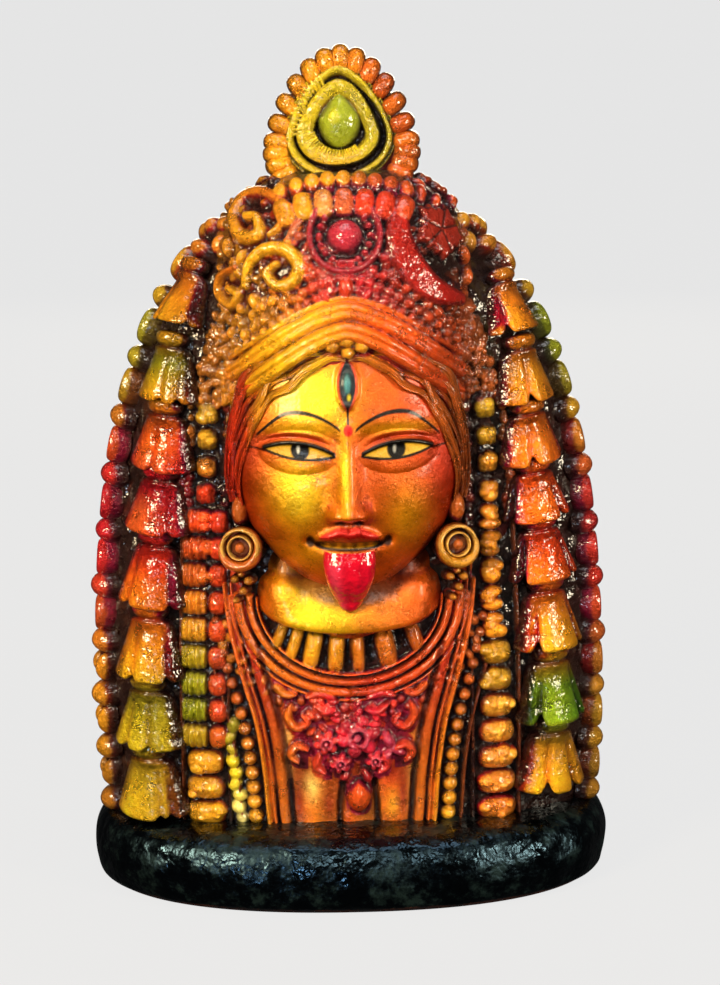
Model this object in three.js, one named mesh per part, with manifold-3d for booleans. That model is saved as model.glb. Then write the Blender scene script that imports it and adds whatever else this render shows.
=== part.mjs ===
// A moulded clay idol of a crowned goddess: a bust between flower garlands on a rounded plinth,
// cast in one piece. Millimetres, +Z up, the face looks along -Y, and the origin is the middle
// of the plinth's underside.
import * as THREE from "three";
import { mergeVertices } from "three/addons/utils/BufferGeometryUtils.js";
import Module from "manifold-3d";

const wasm = await Module();
wasm.setup();

const { clamp, degToRad, lerp, radToDeg, smoothstep } = THREE.MathUtils;

// Plinth
const PLINTH_WIDTH = 125;
const PLINTH_DEPTH = 72;
const PLINTH_HEIGHT = 17.5;
const PLINTH_FOOT_INSET = 3.5;
const PLINTH_TOP_ROUND = 6;

// How far an ornament's end goes into what carries it, and the finest step kept in a facet
const ROOT = 1;
const FACET = 0.15;

// Bust, the ground that the carving stands on
const BUST_WIDTH = 117;
const BUST_FRONT = 24;
const BUST_BACK = 24;
const BUST_HEIGHT = 150;
const BUST_SET_BACK = 2;
const BUST_SINK = 5;

// Crown
const CROWN_WIDTH = 60;
const CROWN_FRONT = 31;
const CROWN_BACK = 20;
const CROWN_RISE = 78.5;
const CROWN_HEIGHT = 74;
const BAND_RISE = 46;
const BAND_DROP = 21;
const BAND_RIDGE = 2.3;
const BAND_PITCH = 4.6;
const HAIR_LOCK = 3;
const CROWN_FLOWER = 7.6;
const CROWN_PETAL = 7;
const SCROLL = 6.4;
const SMALL_SCROLL = 5.6;
const CRESCENT = 14;
const STAR = 4.6;

// Crest, the standing medallion on top of the crown
const CREST_WIDTH = 31;
const CREST_HEIGHT = 33;
const CREST_THICKNESS = 11;
const CREST_SINK = 7;
const CREST_BEADS = 24;
const CREST_BEAD = 4.8;
const CREST_LEAN = 8;

// Face and neck
const FACE_WIDTH = 52;
const FACE_HEIGHT = 61;
const FACE_RISE = 87;
const FACE_ROUND = 16;
const FACE_FRONT = 18;
const TONGUE_WIDTH = 12;
const TONGUE_LENGTH = 15.5;
const TONGUE_THICKNESS = 4.6;
const NECK_WIDTH = 45;
const NECK_FRONT = 28;
const NECK_RISE = 46.5;
const NECK_HEIGHT = 15;

// Garlands and strings
const BELL_LOW = 19.5;
const BELL_HIGH = 13.5;
const BELL_MOUTH = 14;
const CHAIN_BEAD = 6.4;
const CHAIN_LEAF = 8;
const STRING_BEAD = 6.2;

// Dress and jewels
const COLLAR_WIDTH = 54;
const COLLAR_DROP = 24;
const COLLAR_RISE = 55.5;
const COLLAR_DROPLET = 6.4;
const SHAWL_RIDGE = 1.9;
const COLLAR_RIDGE = 2.8;
const EARRING = 11;
const PENDANT = 6.5;
const PENDANT_RISE = 23;

// Heights over the ground, each on the piece below it
const CROWN_FOOT = PLINTH_HEIGHT + CROWN_RISE;
const BAND_PEAK = CROWN_FOOT + BAND_RISE;
const CREST_FOOT = CROWN_FOOT + CROWN_HEIGHT - CREST_SINK;
const FACE_CENTRE = PLINTH_HEIGHT + FACE_RISE;
const NECK_FOOT = PLINTH_HEIGHT + NECK_RISE;
const COLLAR_TOP = PLINTH_HEIGHT + COLLAR_RISE;

// A smooth curve through rows of [share, value, value...], read at one share and column.
function follow(rows, share, column = 1) {
  const last = rows.length - 1;
  const at = clamp(share, rows[0][0], rows[last][0]);
  let i = 0;
  while (i < last - 1 && at > rows[i + 1][0]) i += 1;
  const slope = (k) => {
    const before = rows[Math.max(k - 1, 0)];
    const after = rows[Math.min(k + 1, last)];
    return (after[column] - before[column]) / (after[0] - before[0]);
  };
  const [from, to] = [rows[i], rows[i + 1]];
  const span = to[0] - from[0];
  const s = (at - from[0]) / span;
  const ease = s * s * (3 - 2 * s);
  const bend = s * (1 - s) * span * ((1 - s) * slope(i) - s * slope(i + 1));
  return lerp(from[column], to[column], ease) + bend;
}

function samples(count, make) {
  return Array.from({ length: count }, (_, i) => make(i / (count - 1)));
}

function turns(count, make, offset = 0) {
  return Array.from({ length: count }, (_, i) => make((2 * Math.PI * (i + offset)) / count));
}

function middle(points) {
  const sum = points.reduce((total, p) => total.add(p), new THREE.Vector3());
  return sum.divideScalar(points.length);
}

// A solid from rings of points: a loop joined end to end, or a rod with a cap at each end,
// where the last cap may come to a tip.
function ringSolid(rings, { loop = false, tip } = {}) {
  const count = rings[0].length;
  const points = rings.flat();
  const faces = [];
  for (let r = 0; r + (loop ? 0 : 1) < rings.length; r += 1) {
    const here = r * count;
    const there = ((r + 1) % rings.length) * count;
    for (let k = 0; k < count; k += 1) {
      const next = (k + 1) % count;
      faces.push(here + k, here + next, there + next, here + k, there + next, there + k);
    }
  }
  if (!loop) {
    const top = (rings.length - 1) * count;
    const start = points.push(middle(rings[0])) - 1;
    const end = points.push(tip ?? middle(rings.at(-1))) - 1;
    for (let k = 0; k < count; k += 1) {
      const next = (k + 1) % count;
      faces.push(start, next, k, end, top + k, top + next);
    }
  }
  const geometry = new THREE.BufferGeometry().setFromPoints(points);
  geometry.setIndex(faces);
  return solid(geometry);
}

// Makes a geometry a solid for joining, turned so that its faces point out.
function solid(geometry) {
  const bare = new THREE.BufferGeometry();
  bare.setAttribute("position", geometry.getAttribute("position"));
  bare.setIndex(geometry.index);
  const merged = mergeVertices(bare, 1e-4);
  const points = merged.getAttribute("position").array;
  const faces = new Uint32Array(merged.index.array);
  if (signedVolume(points, faces) < 0) {
    for (let i = 0; i < faces.length; i += 3) {
      [faces[i + 1], faces[i + 2]] = [faces[i + 2], faces[i + 1]];
    }
  }
  return new wasm.Manifold(new wasm.Mesh({ numProp: 3, vertProperties: points, triVerts: faces }));
}

function signedVolume(points, faces) {
  const corner = (i) => new THREE.Vector3().fromArray(points, 3 * faces[i]);
  let six = 0;
  for (let i = 0; i < faces.length; i += 3) {
    six += corner(i).dot(corner(i + 1).cross(corner(i + 2)));
  }
  return six;
}

// A body of oval sections. Angles run from 0 at the front, + towards +X, to 180 at the back.
class Loft {
  constructor(shape) {
    Object.assign(this, shape);
  }

  section(z) {
    const share = (z - this.foot) / this.height;
    return {
      halfWidth: this.halfWidth * follow(this.rows, share, 1),
      front: this.front * follow(this.rows, share, 2),
      back: this.back * follow(this.rows, share, 3),
    };
  }

  on(angle, z) {
    const { halfWidth, front, back } = this.section(z);
    const sine = Math.sin(degToRad(angle));
    const cosine = Math.cos(degToRad(angle));
    const power = 2 / this.square;
    const x = halfWidth * Math.sign(sine) * Math.abs(sine) ** power;
    const depth = (cosine > 0 ? -front : back) * Math.abs(cosine) ** power;
    return new THREE.Vector3(x, depth + BUST_SET_BACK, z);
  }

  // The angle on the front at which the section passes x.
  angleOf(x, z) {
    const share = clamp(Math.abs(x) / this.section(z).halfWidth, 0, 0.999);
    return Math.sign(x) * radToDeg(Math.asin(share ** (this.square / 2)));
  }

  // Axes at a place on the surface: across, up along the surface and straight out.
  frame(angle, z, turn = 0) {
    const level = this.on(angle + 0.5, z).sub(this.on(angle - 0.5, z)).normalize();
    const up = this.on(angle, z + 0.5).sub(this.on(angle, z - 0.5)).normalize();
    const out = level.clone().cross(up).normalize();
    const across = up.clone().cross(out).normalize();
    const frame = new THREE.Matrix4().makeBasis(across, out.clone().cross(across), out);
    frame.multiply(new THREE.Matrix4().makeRotationZ(degToRad(turn)));
    return frame.setPosition(this.on(angle, z));
  }

  frameAt(x, z, turn = 0) {
    return this.frame(this.angleOf(x, z), z, turn);
  }

  // The same, at shares of the half width and of the height.
  frameOn(across, up) {
    return this.frameAt(across * this.halfWidth, this.foot + up * this.height);
  }

  solid(levels, segments) {
    return ringSolid(levels.map((z) => turns(segments, (turn) => this.on(radToDeg(turn), z), 0.5)));
  }
}

const bust = new Loft({
  foot: PLINTH_HEIGHT,
  height: BUST_HEIGHT,
  halfWidth: BUST_WIDTH / 2,
  front: BUST_FRONT,
  back: BUST_BACK,
  square: 2.4,
  rows: [
    [-0.05, 0.97, 0.8, 1],
    [0.15, 1, 0.9, 1],
    [0.28, 1, 0.9, 0.98],
    [0.42, 0.985, 0.82, 0.96],
    [0.55, 0.94, 0.82, 0.93],
    [0.68, 0.85, 0.9, 0.88],
    [0.81, 0.71, 0.92, 0.8],
    [0.88, 0.58, 0.82, 0.7],
    [0.94, 0.43, 0.62, 0.55],
    [1, 0.2, 0.35, 0.3],
  ],
});

const crown = new Loft({
  foot: CROWN_FOOT,
  height: CROWN_HEIGHT,
  halfWidth: CROWN_WIDTH / 2,
  front: CROWN_FRONT,
  back: CROWN_BACK,
  square: 2.5,
  rows: [
    [0, 0.84, 0.85, 0.9],
    [0.3, 0.93, 0.97, 1],
    [0.55, 1, 1, 1],
    [0.75, 1, 0.9, 0.95],
    [0.87, 0.88, 0.77, 0.8],
    [0.95, 0.64, 0.62, 0.62],
    [1, 0.4, 0.45, 0.42],
  ],
});

const neck = new Loft({
  foot: NECK_FOOT,
  height: NECK_HEIGHT,
  halfWidth: NECK_WIDTH / 2,
  front: NECK_FRONT,
  back: BUST_BACK / 2,
  square: 3,
  rows: [
    [0, 0.92, 0.94, 1],
    [0.15, 1.03, 1.06, 1],
    [0.5, 1.05, 1.1, 1],
    [0.85, 1.02, 1.08, 1],
    [1, 0.96, 1, 1],
  ],
});

// Axes at a place, the same as a surface that looks straight forward would give.
function facing(x, y, z) {
  return new THREE.Matrix4().makeRotationX(Math.PI / 2).setPosition(x, y, z);
}

// Frames along places on a surface, each turned so that its second axis follows the path.
function pathFrames(places, loop = false) {
  const origins = places.map((frame) => new THREE.Vector3().setFromMatrixPosition(frame));
  const last = places.length - 1;
  return places.map((frame, i) => {
    const before = origins[i > 0 ? i - 1 : loop ? last : 0];
    const after = origins[i < last ? i + 1 : loop ? 0 : last];
    const along = after.clone().sub(before).normalize();
    const out = new THREE.Vector3().setFromMatrixColumn(frame, 2);
    const across = along.clone().cross(out).normalize();
    const high = across.clone().cross(along);
    return new THREE.Matrix4().makeBasis(across, along, high).setPosition(origins[i]);
  });
}

// Turns for the corners of a section that stands on the ground: round in front, flat behind.
function archTurns(corners) {
  return samples(corners, (share) => degToRad(lerp(-30, 210, share)));
}

// A strand of arched sections [wide, high] on frames: a ridge, a lock or a string of beads.
// Lobes are the shifts of arches that lie side by side in one strand.
function strand(frames, sections, { corners = 3, loop = false, lobes = [0] } = {}) {
  const arch = archTurns(corners);
  const rings = frames.map((frame, i) => {
    const [wide, high] = sections[i];
    return lobes.flatMap((shift) => {
      return arch.map((turn) => {
        const x = shift + wide * Math.cos(turn);
        return new THREE.Vector3(x, 0, high * Math.sin(turn)).applyMatrix4(frame);
      });
    });
  });
  return ringSolid(rings, { loop });
}

function ridge(places, wide, high, lobes) {
  const sections = samples(places.length, (share) => [wide(share), high]);
  return strand(pathFrames(places), sections, { lobes });
}

// A string of touching beads along a curve of frames, read at shares from 0 to 1.
function beads(place, count, size, options = {}) {
  const halves = 2 * count + (options.loop ? 0 : 1);
  const places = Array.from({ length: halves }, (_, i) => place(i / (2 * count)));
  const sections = places.map((_, i) => {
    const radius = (size / 2) * (i % 2 ? 1.04 : 0.5);
    return [radius, radius];
  });
  return strand(pathFrames(places, options.loop), sections, options);
}

function bead(frame, width, height, thick, lift = 0, segments = 6) {
  const geometry = new THREE.SphereGeometry(0.5, segments, 4);
  geometry.rotateX(Math.PI / 2);
  geometry.scale(width, height, thick);
  geometry.translate(0, 0, lift);
  return solid(geometry.applyMatrix4(frame));
}

// A raised ornament with a closed outline, given as the reach for each turn.
function boss(frame, outline, high, sides) {
  const ring = (shrink, lift) => {
    return turns(sides, (turn) => {
      const reach = outline(turn) * shrink;
      return new THREE.Vector3(reach * Math.cos(turn), reach * Math.sin(turn), lift).applyMatrix4(frame);
    });
  };
  const tip = new THREE.Vector3(0, 0, high * 1.1).applyMatrix4(frame);
  return ringSolid([ring(1, -high * 1.2), ring(1, high * 0.5), ring(0.72, high)], { tip });
}

function plinth() {
  const inset = [
    [0, PLINTH_FOOT_INSET],
    [0.14, PLINTH_FOOT_INSET * 0.3],
    [0.4, 0],
    [0.66, 0.06 * PLINTH_TOP_ROUND],
    [0.88, 0.38 * PLINTH_TOP_ROUND],
    [1, 1.2 * PLINTH_TOP_ROUND],
  ];
  const square = 2.25;
  const swing = (value) => Math.sign(value) * Math.abs(value) ** (2 / square);
  return ringSolid(
    inset.map(([share, inward]) => {
      return turns(28, (turn) => {
        const x = (PLINTH_WIDTH / 2 - inward) * swing(Math.cos(turn));
        const y = (PLINTH_DEPTH / 2 - inward) * swing(Math.sin(turn));
        return new THREE.Vector3(x, y, PLINTH_HEIGHT * share);
      });
    }),
  );
}

// The height of the face over its back plane. x and z are in sixths of the face's height,
// from its middle, so the brow is at 1, the base of the nose at -1 and the chin at -3.
function faceRelief(x, z) {
  const side = Math.abs(x);
  const bump = (cx, cz, rx, rz) => Math.exp(-(((side - cx) / rx) ** 2) - ((z - cz) / rz) ** 2);
  const jaw = 2.7 - 0.075 * Math.max(0, -z) ** 2;
  const dome = Math.sqrt(Math.max(0, 1 - (x / jaw) ** 2 - ((z - 0.3) / 3.45) ** 2));
  const almond = Math.sqrt(Math.max(0, 1 - ((side - 1.08) / 0.8) ** 2 - ((z - 0.5) / 0.36) ** 2));
  const down = clamp((1 - z) / 1.9, 0, 1);
  const bridge = smoothstep(z, -1.14, -0.84) * (1 - smoothstep(z, 0.9, 1.4));
  const nose = (0.12 + 0.46 * down ** 1.4) * bridge * Math.exp(-((x / (0.2 + 0.14 * down)) ** 2));
  const brow = 0.09 * bump(1.1, 1.2, 1, 0.3) - 0.2 * bump(1.05, 0.55, 0.85, 0.45);
  const nostril = 0.18 * bump(0.34, -0.84, 0.17, 0.22);
  const lips = 0.17 * bump(0, -1.42, 0.8, 0.18) - 0.16 * bump(0, -1.72, 0.85, 0.14);
  const flesh = 0.1 * bump(1.35, -0.9, 0.75, 0.75) + 0.12 * bump(0, -2.65, 0.6, 0.35);
  return 1.8 * dome + brow + 0.2 * almond + nose + nostril + lips + flesh;
}

// The face, a sheet of relief over an oval, closed behind.
function face() {
  const unit = FACE_HEIGHT / 6;
  const columns = 15;
  const rows = 18;
  const back = BUST_SET_BACK - FACE_FRONT;
  const place = (u, v) => {
    const taper = 1 - 0.12 * Math.max(0, -v) ** 2;
    const x = ((u * Math.sqrt(1 - (v * v) / 2) * FACE_WIDTH) / 2) * taper;
    return [x, (v * Math.sqrt(1 - (u * u) / 2) * FACE_HEIGHT) / 2];
  };
  const rings = samples(rows, (down) => {
    const v = 2 * down - 1;
    const front = samples(columns, (share) => {
      const u = 2 * share - 1;
      const [x, z] = place(Math.sign(u) * Math.abs(u) ** 1.2, v);
      const high = (faceRelief(x / unit, z / unit) * FACE_ROUND) / 1.8;
      return new THREE.Vector3(x, back - high, FACE_CENTRE + z);
    });
    const behind = samples(2, (share) => {
      const [x, z] = place(1 - 2 * share, v);
      return new THREE.Vector3(x * 0.96, back + FACE_ROUND / 2, FACE_CENTRE + z);
    });
    return [...front, ...behind];
  });
  return ringSolid(rings);
}

function tongue() {
  const root = FACE_CENTRE - (1.75 * FACE_HEIGHT) / 6;
  const front = BUST_SET_BACK - FACE_FRONT - FACE_ROUND * 0.72;
  const width = [
    [0, 0.9],
    [0.25, 1],
    [0.6, 0.88],
    [0.85, 0.55],
    [1, 0.16],
  ];
  const shares = samples(7, (share) => share);
  const frames = shares.map((share) => {
    return facing(0, front + TONGUE_THICKNESS * 0.43 * share, root - TONGUE_LENGTH * share);
  });
  const sections = shares.map((share) => {
    const wide = follow(width, share);
    return [(TONGUE_WIDTH / 2) * wide, TONGUE_THICKNESS * Math.sqrt(wide)];
  });
  return strand(pathFrames(frames), sections, { corners: 6 });
}

// The band of the crown, two ridges along a pointed arch.
function crownBand() {
  const places = samples(11, (s) => {
    const off = Math.abs(2 * s - 1);
    const x = (2 * s - 1) * (CROWN_WIDTH / 2) * 0.985;
    return crown.frameAt(x, BAND_PEAK - BAND_PITCH / 2 - BAND_DROP * off ** 1.6);
  });
  const lobes = [BAND_PITCH / 2, -BAND_PITCH / 2];
  return ridge(places, () => BAND_RIDGE, BAND_RIDGE * 1.5, lobes);
}

// Waved locks round the face, from the parting down to the ear.
function hair(side) {
  const back = BUST_SET_BACK - FACE_FRONT;
  return [0, 1].map((lock) => {
    const places = samples(9, (s) => {
      const turn = degToRad(lerp(4, 104, s));
      const reach = 0.93 + 0.11 * lock + 0.02 * Math.sin(11 * s + 2 * lock);
      const x = side * (FACE_WIDTH / 2) * reach * Math.sin(turn);
      const z = FACE_CENTRE + (FACE_HEIGHT / 2) * reach * Math.cos(turn);
      return facing(x, back - HAIR_LOCK * (3.4 - 1.6 * s - 0.6 * lock), z);
    });
    return ridge(places, () => HAIR_LOCK, HAIR_LOCK * 1.9);
  });
}

// A place on the crown, out from a centre at shares of its half width and height.
function onCrown(across, up, reach, rise) {
  return crown.frameAt(
    across * crown.halfWidth + reach,
    crown.foot + up * crown.height + rise,
  );
}

// A scroll on the crown: a spiral that runs out from its eye.
function scroll(across, up, radius, lean) {
  const places = samples(9, (s) => {
    const turn = degToRad(lean) + 2.7 * Math.PI * s;
    const reach = radius * (0.2 + 0.8 * s);
    return onCrown(across, up, reach * Math.cos(turn), reach * Math.sin(turn));
  });
  return ridge(places, (s) => radius * (0.16 + 0.21 * Math.sin(Math.PI * s)), radius * 0.46);
}

function crescent() {
  const places = samples(9, (s) => {
    const turn = degToRad(lerp(175, 282, s));
    return onCrown(0.717, 0.865, CRESCENT * 0.86 * Math.cos(turn), CRESCENT * Math.sin(turn));
  });
  return ridge(places, (s) => CRESCENT * (0.04 + 0.26 * Math.sin(Math.PI * s)), CRESCENT * 0.24);
}

function crownCarving() {
  const flower = crown.frameOn(0, 0.804);
  const petalRow = (s) => crown.frameOn(lerp(-0.65, 0.65, s), 0.939 - 0.062 * (2 * s - 1) ** 2);
  const heart = CROWN_FLOWER * 1.05;
  return [
    boss(flower, () => CROWN_FLOWER, CROWN_FLOWER * 0.26, 12),
    bead(flower, heart, heart, heart, heart * 0.225),
    beads(petalRow, 8, CROWN_PETAL),
    scroll(-0.517, 0.73, SCROLL, 20),
    scroll(-0.75, 0.845, SMALL_SCROLL, 40),
    crescent(),
    boss(crown.frameOn(0.7, 0.824), (turn) => STAR * (1 + 0.22 * Math.cos(5 * turn)), STAR * 0.57, 10),
  ];
}

// A point of the crest's drop outline, widest a third of the way up and softly pointed above.
function crestPoint(turn, shrink, lift) {
  const [up, side] = [Math.sin(turn), Math.cos(turn)];
  const heart = CREST_HEIGHT * 0.34;
  const x = (CREST_WIDTH / 2) * Math.sign(side) * Math.abs(side) ** (up > 0 ? 1 : 0.85);
  const z = up > 0 ? (CREST_HEIGHT - heart) * (1 - Math.abs(side) ** 1.92) ** 0.667 : heart * up;
  const frame = new THREE.Matrix4().makeRotationX(degToRad(90 - CREST_LEAN));
  frame.setPosition(0, BUST_SET_BACK - CREST_THICKNESS / 2, CREST_FOOT);
  return new THREE.Vector3(x * shrink, heart + z * shrink, lift).applyMatrix4(frame);
}

function crest() {
  const profile = [
    [0.7, -1],
    [0.97, -0.75],
    [1, 0],
    [0.8, 0.24],
    [0.7, 0.13],
    [0.6, 0.27],
    [0.42, 0.27],
    [0.36, 0.15],
    [0.26, 0.42],
  ];
  const rings = profile.map(([shrink, lift]) => {
    return turns(16, (turn) => crestPoint(turn, shrink, lift * CREST_THICKNESS));
  });
  const plate = ringSolid(rings, { tip: crestPoint(0, 0, CREST_THICKNESS * 0.51) });
  const place = (share) => {
    const turn = 2 * Math.PI * (share + 0.5 / CREST_BEADS) + Math.PI / 2;
    const [inner, outer] = [0.9, 1.02].map((shrink) => crestPoint(turn, shrink, -1));
    const out = outer.clone().sub(inner).normalize();
    const front = crestPoint(turn, 1, 1).sub(crestPoint(turn, 1, 0));
    const frame = new THREE.Matrix4().makeBasis(front, out.clone().cross(front).negate(), out);
    return frame.setPosition(outer);
  };
  return [plate, beads(place, CREST_BEADS, CREST_BEAD, { corners: 4, loop: true })];
}

// Where the garlands hang: the angle round the bust at shares of its height.
const BELL_ANGLES = [
  [0, 54],
  [0.3, 51],
  [0.55, 49],
  [0.75, 57],
  [0.92, 74],
];
const CHAIN_ANGLES = [
  [0, 79],
  [0.5, 76],
  [0.8, 84],
  [0.92, 92],
];

function onBust(side, angles, z) {
  return bust.frame(side * follow(angles, (z - PLINTH_HEIGHT) / BUST_HEIGHT), z);
}

// Bell flowers threaded one in the next, mouths down, with a wide petal in front.
function bells(side) {
  const profile = [
    [0, 0.46],
    [0.3, 0.78],
    [0.88, 1],
  ];
  const places = [];
  const rings = [];
  let top = PLINTH_HEIGHT + BUST_HEIGHT * 0.92;
  while (top > PLINTH_HEIGHT + BELL_LOW * 0.1) {
    const high = (top - PLINTH_HEIGHT) / BUST_HEIGHT;
    const length = lerp(BELL_LOW, BELL_HIGH, high);
    for (const [share, wide] of profile) {
      places.push(onBust(side, BELL_ANGLES, top - share * length));
      rings.push({ share, wide: ((wide * BELL_MOUTH) / 2) * lerp(1.02, 0.84, high), length });
    }
    top -= length * 0.84;
  }
  const frames = pathFrames(places);
  return ringSolid(
    rings.map(({ share, wide, length }, i) => {
      return archTurns(7).map((turn) => {
        const petal = Math.cos(5 * (turn - Math.PI / 2));
        const reach = wide * (1 + 0.08 * share * petal);
        const sag = 0.06 * length * share * petal;
        const point = new THREE.Vector3(reach * Math.cos(turn), sag, reach * Math.sin(turn));
        return point.applyMatrix4(frames[i]);
      });
    }),
  );
}

// The outer chain of round beads and leaves in turn, which makes the figure's outline.
function chain(side) {
  const items = [
    { size: CHAIN_BEAD * 1.04, long: CHAIN_BEAD * 0.85, stations: [[0, 0.5], [0.5, 1]] },
    { size: CHAIN_BEAD * 1.05, long: CHAIN_LEAF, stations: [[0, 0.5], [0.55, 1]] },
  ];
  const places = [];
  const sections = [];
  let z = PLINTH_HEIGHT - ROOT;
  for (let i = 0; z < PLINTH_HEIGHT + BUST_HEIGHT * 0.9; i += 1) {
    const { size, long, stations } = items[i % 2];
    for (const [share, wide] of stations) {
      places.push(onBust(side, CHAIN_ANGLES, z + share * long));
      sections.push([(size / 2) * wide, (size / 2) * wide * 1.15]);
    }
    z += long;
  }
  return strand(pathFrames(places), sections, { corners: 4 });
}

// The double string of beads between the bells and the dress.
function strings(side) {
  const line = (s) => {
    const z = PLINTH_HEIGHT + lerp(-ROOT, BUST_HEIGHT * 0.6, s);
    return bust.frameAt((side * BUST_WIDTH * lerp(0.607, 0.564, s)) / 2, z);
  };
  const shift = STRING_BEAD * 0.47;
  return beads(line, 14, STRING_BEAD, { lobes: [shift, -shift] });
}

// The edge of the shawl, two ridges down each side of the chest.
function shawl(side) {
  const line = (s, shift) => {
    const z = lerp(COLLAR_TOP - COLLAR_RIDGE * 1.4, PLINTH_HEIGHT - ROOT, s);
    const x = (COLLAR_WIDTH * lerp(0.98, 0.65, s ** 0.75)) / 2;
    return bust.frameAt(side * (x + shift), z);
  };
  const pitch = SHAWL_RIDGE * 1.05;
  const places = samples(7, (s) => line(s, pitch));
  return ridge(places, () => SHAWL_RIDGE, SHAWL_RIDGE * 1.37, [pitch, -pitch]);
}

function collar() {
  const arc = (from, to, inset) => (s) => {
    const turn = Math.PI * lerp(from, to, s);
    const x = (COLLAR_WIDTH / 2 - inset) * Math.cos(turn);
    return bust.frameAt(x, COLLAR_TOP + (COLLAR_DROP - inset) * Math.sin(turn));
  };
  const pitch = COLLAR_RIDGE * 1.8;
  const places = samples(10, arc(1, 2, pitch / 2));
  return [
    ridge(places, () => COLLAR_RIDGE, COLLAR_RIDGE * 1.4, [pitch / 2, -pitch / 2]),
    beads(arc(1.14, 1.86, pitch * 1.95), 7, COLLAR_DROPLET),
  ];
}

function chestOrnament() {
  const place = (x, z) => bust.frameAt(x * PENDANT, PLINTH_HEIGHT + PENDANT_RISE + z * PENDANT);
  const centre = place(0, 0);
  const leaf = (x, z, turn, long) => {
    const lean = degToRad(turn);
    const places = [-0.5, 0, 0.5].map((end) => {
      return place(x - end * long * Math.sin(lean), z + end * long * Math.cos(lean));
    });
    return ridge(places, (s) => PENDANT * 0.4 * Math.sin(Math.PI * lerp(0.08, 0.92, s)), PENDANT * 0.37);
  };
  const leaves = [-1, 1].flatMap((side) => [
    leaf(side, 0.46, side * -70, 1.54),
    leaf(side * 1.77, 0.92, side * -55, 1.23),
    leaf(side * 0.92, -0.62, side * 55, 1.38),
    leaf(side * 0.69, -1.38, side * 20, 1.23),
  ]);
  const petals = (turn) => PENDANT * (0.85 + 0.15 * Math.cos(5 * turn - Math.PI / 2));
  return [
    boss(centre, petals, PENDANT * 0.34, 10),
    bead(centre, PENDANT, PENDANT * 1.1, PENDANT * 0.77, PENDANT * 0.31),
    bead(place(0.08, -2.46), PENDANT * 0.92, PENDANT * 1.46, PENDANT * 0.85, PENDANT * 0.03),
    ...leaves,
  ];
}

function earring(side) {
  const jewel = bust.frameAt((side * FACE_WIDTH * 0.94) / 2, FACE_CENTRE - FACE_HEIGHT * 0.303);
  const ear = bust.frameAt((side * FACE_WIDTH) / 2, FACE_CENTRE - FACE_HEIGHT * 0.14);
  const disc = jewel.clone().multiply(new THREE.Matrix4().makeTranslation(0, 0, EARRING * 0.55));
  return [
    bead(jewel, EARRING * 0.9, EARRING * 0.9, EARRING * 1.45),
    boss(disc, () => EARRING / 2, EARRING * 0.18, 10),
    bead(disc, EARRING * 0.55, EARRING * 0.55, EARRING * 0.45, EARRING * 0.145),
    bead(ear, FACE_HEIGHT * 0.1, FACE_HEIGHT * 0.2, FACE_HEIGHT * 0.26),
  ];
}

function figure() {
  const bustShares = [-BUST_SINK / BUST_HEIGHT, 0.15, 0.35, 0.55, 0.7, 0.81, 0.89, 0.95, 1];
  const crownShares = [0, 0.3, 0.55, 0.74, 0.87, 1];
  const parts = [
    plinth(),
    bust.solid(bustShares.map((share) => PLINTH_HEIGHT + BUST_HEIGHT * share), 20),
    crown.solid(crownShares.map((share) => CROWN_FOOT + CROWN_HEIGHT * share), 16),
    neck.solid([0, 0.15, 0.85, 1].map((share) => NECK_FOOT + NECK_HEIGHT * share), 16),
    face(),
    tongue(),
    crownBand(),
    ...crownCarving(),
    ...crest(),
    ...collar(),
    ...chestOrnament(),
  ];
  for (const side of [-1, 1]) {
    parts.push(...hair(side), bells(side), chain(side), strings(side));
    parts.push(shawl(side), ...earring(side));
  }
  return outerSkin(wasm.Manifold.union(parts).simplify(FACET));
}

// Leaves out the closed pockets between overlapping ornaments, and tells of a loose one.
function outerSkin(joined) {
  const bodies = joined.decompose().filter((skin) => skin.volume() > 0);
  if (bodies.length !== 1) throw new Error(`${bodies.length} bodies where the casting is one`);
  return bodies[0];
}

function toGeometry(manifold) {
  const { vertProperties, triVerts } = manifold.getMesh();
  const geometry = new THREE.BufferGeometry();
  geometry.setAttribute("position", new THREE.BufferAttribute(vertProperties, 3));
  geometry.setIndex(new THREE.BufferAttribute(triVerts, 1));
  geometry.computeVertexNormals();
  return geometry;
}

const lacqueredClay = new THREE.MeshStandardMaterial({ color: 0xc8701a, roughness: 0.32, metalness: 0.45 });
const idol = new THREE.Mesh(toGeometry(figure()), lacqueredClay);
idol.name = "kali_figure";

const part = new THREE.Group();
part.add(idol);

export default part;
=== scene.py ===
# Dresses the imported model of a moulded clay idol: a crowned goddess between flower garlands on
# a rounded plinth, in gold, red and green lacquer over a black ground. Millimetres in the code,
# metres in Blender, +Z up; the face looks along -Y.
import math

import bpy
import numpy as np
from bpy.props import FloatProperty, FloatVectorProperty, PointerProperty
from mathutils import Matrix, Vector


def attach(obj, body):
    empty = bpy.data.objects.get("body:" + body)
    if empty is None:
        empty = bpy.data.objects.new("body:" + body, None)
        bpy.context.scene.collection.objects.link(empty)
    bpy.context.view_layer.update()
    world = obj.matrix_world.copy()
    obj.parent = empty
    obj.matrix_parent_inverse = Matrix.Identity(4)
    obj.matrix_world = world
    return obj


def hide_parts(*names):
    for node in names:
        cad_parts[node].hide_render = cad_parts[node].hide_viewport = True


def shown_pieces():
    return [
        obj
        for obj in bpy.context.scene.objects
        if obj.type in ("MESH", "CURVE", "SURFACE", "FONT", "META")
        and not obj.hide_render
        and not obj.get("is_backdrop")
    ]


bl_info = {
    "name": "Lacquered clay idol",
    "version": (1, 0, 0),
    "blender": (4, 5, 0),
    "location": "View3D > Sidebar > Idol",
    "description": "Builds a moulded and lacquered clay idol piece by piece over its frame",
    "category": "Add Mesh",
}

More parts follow.
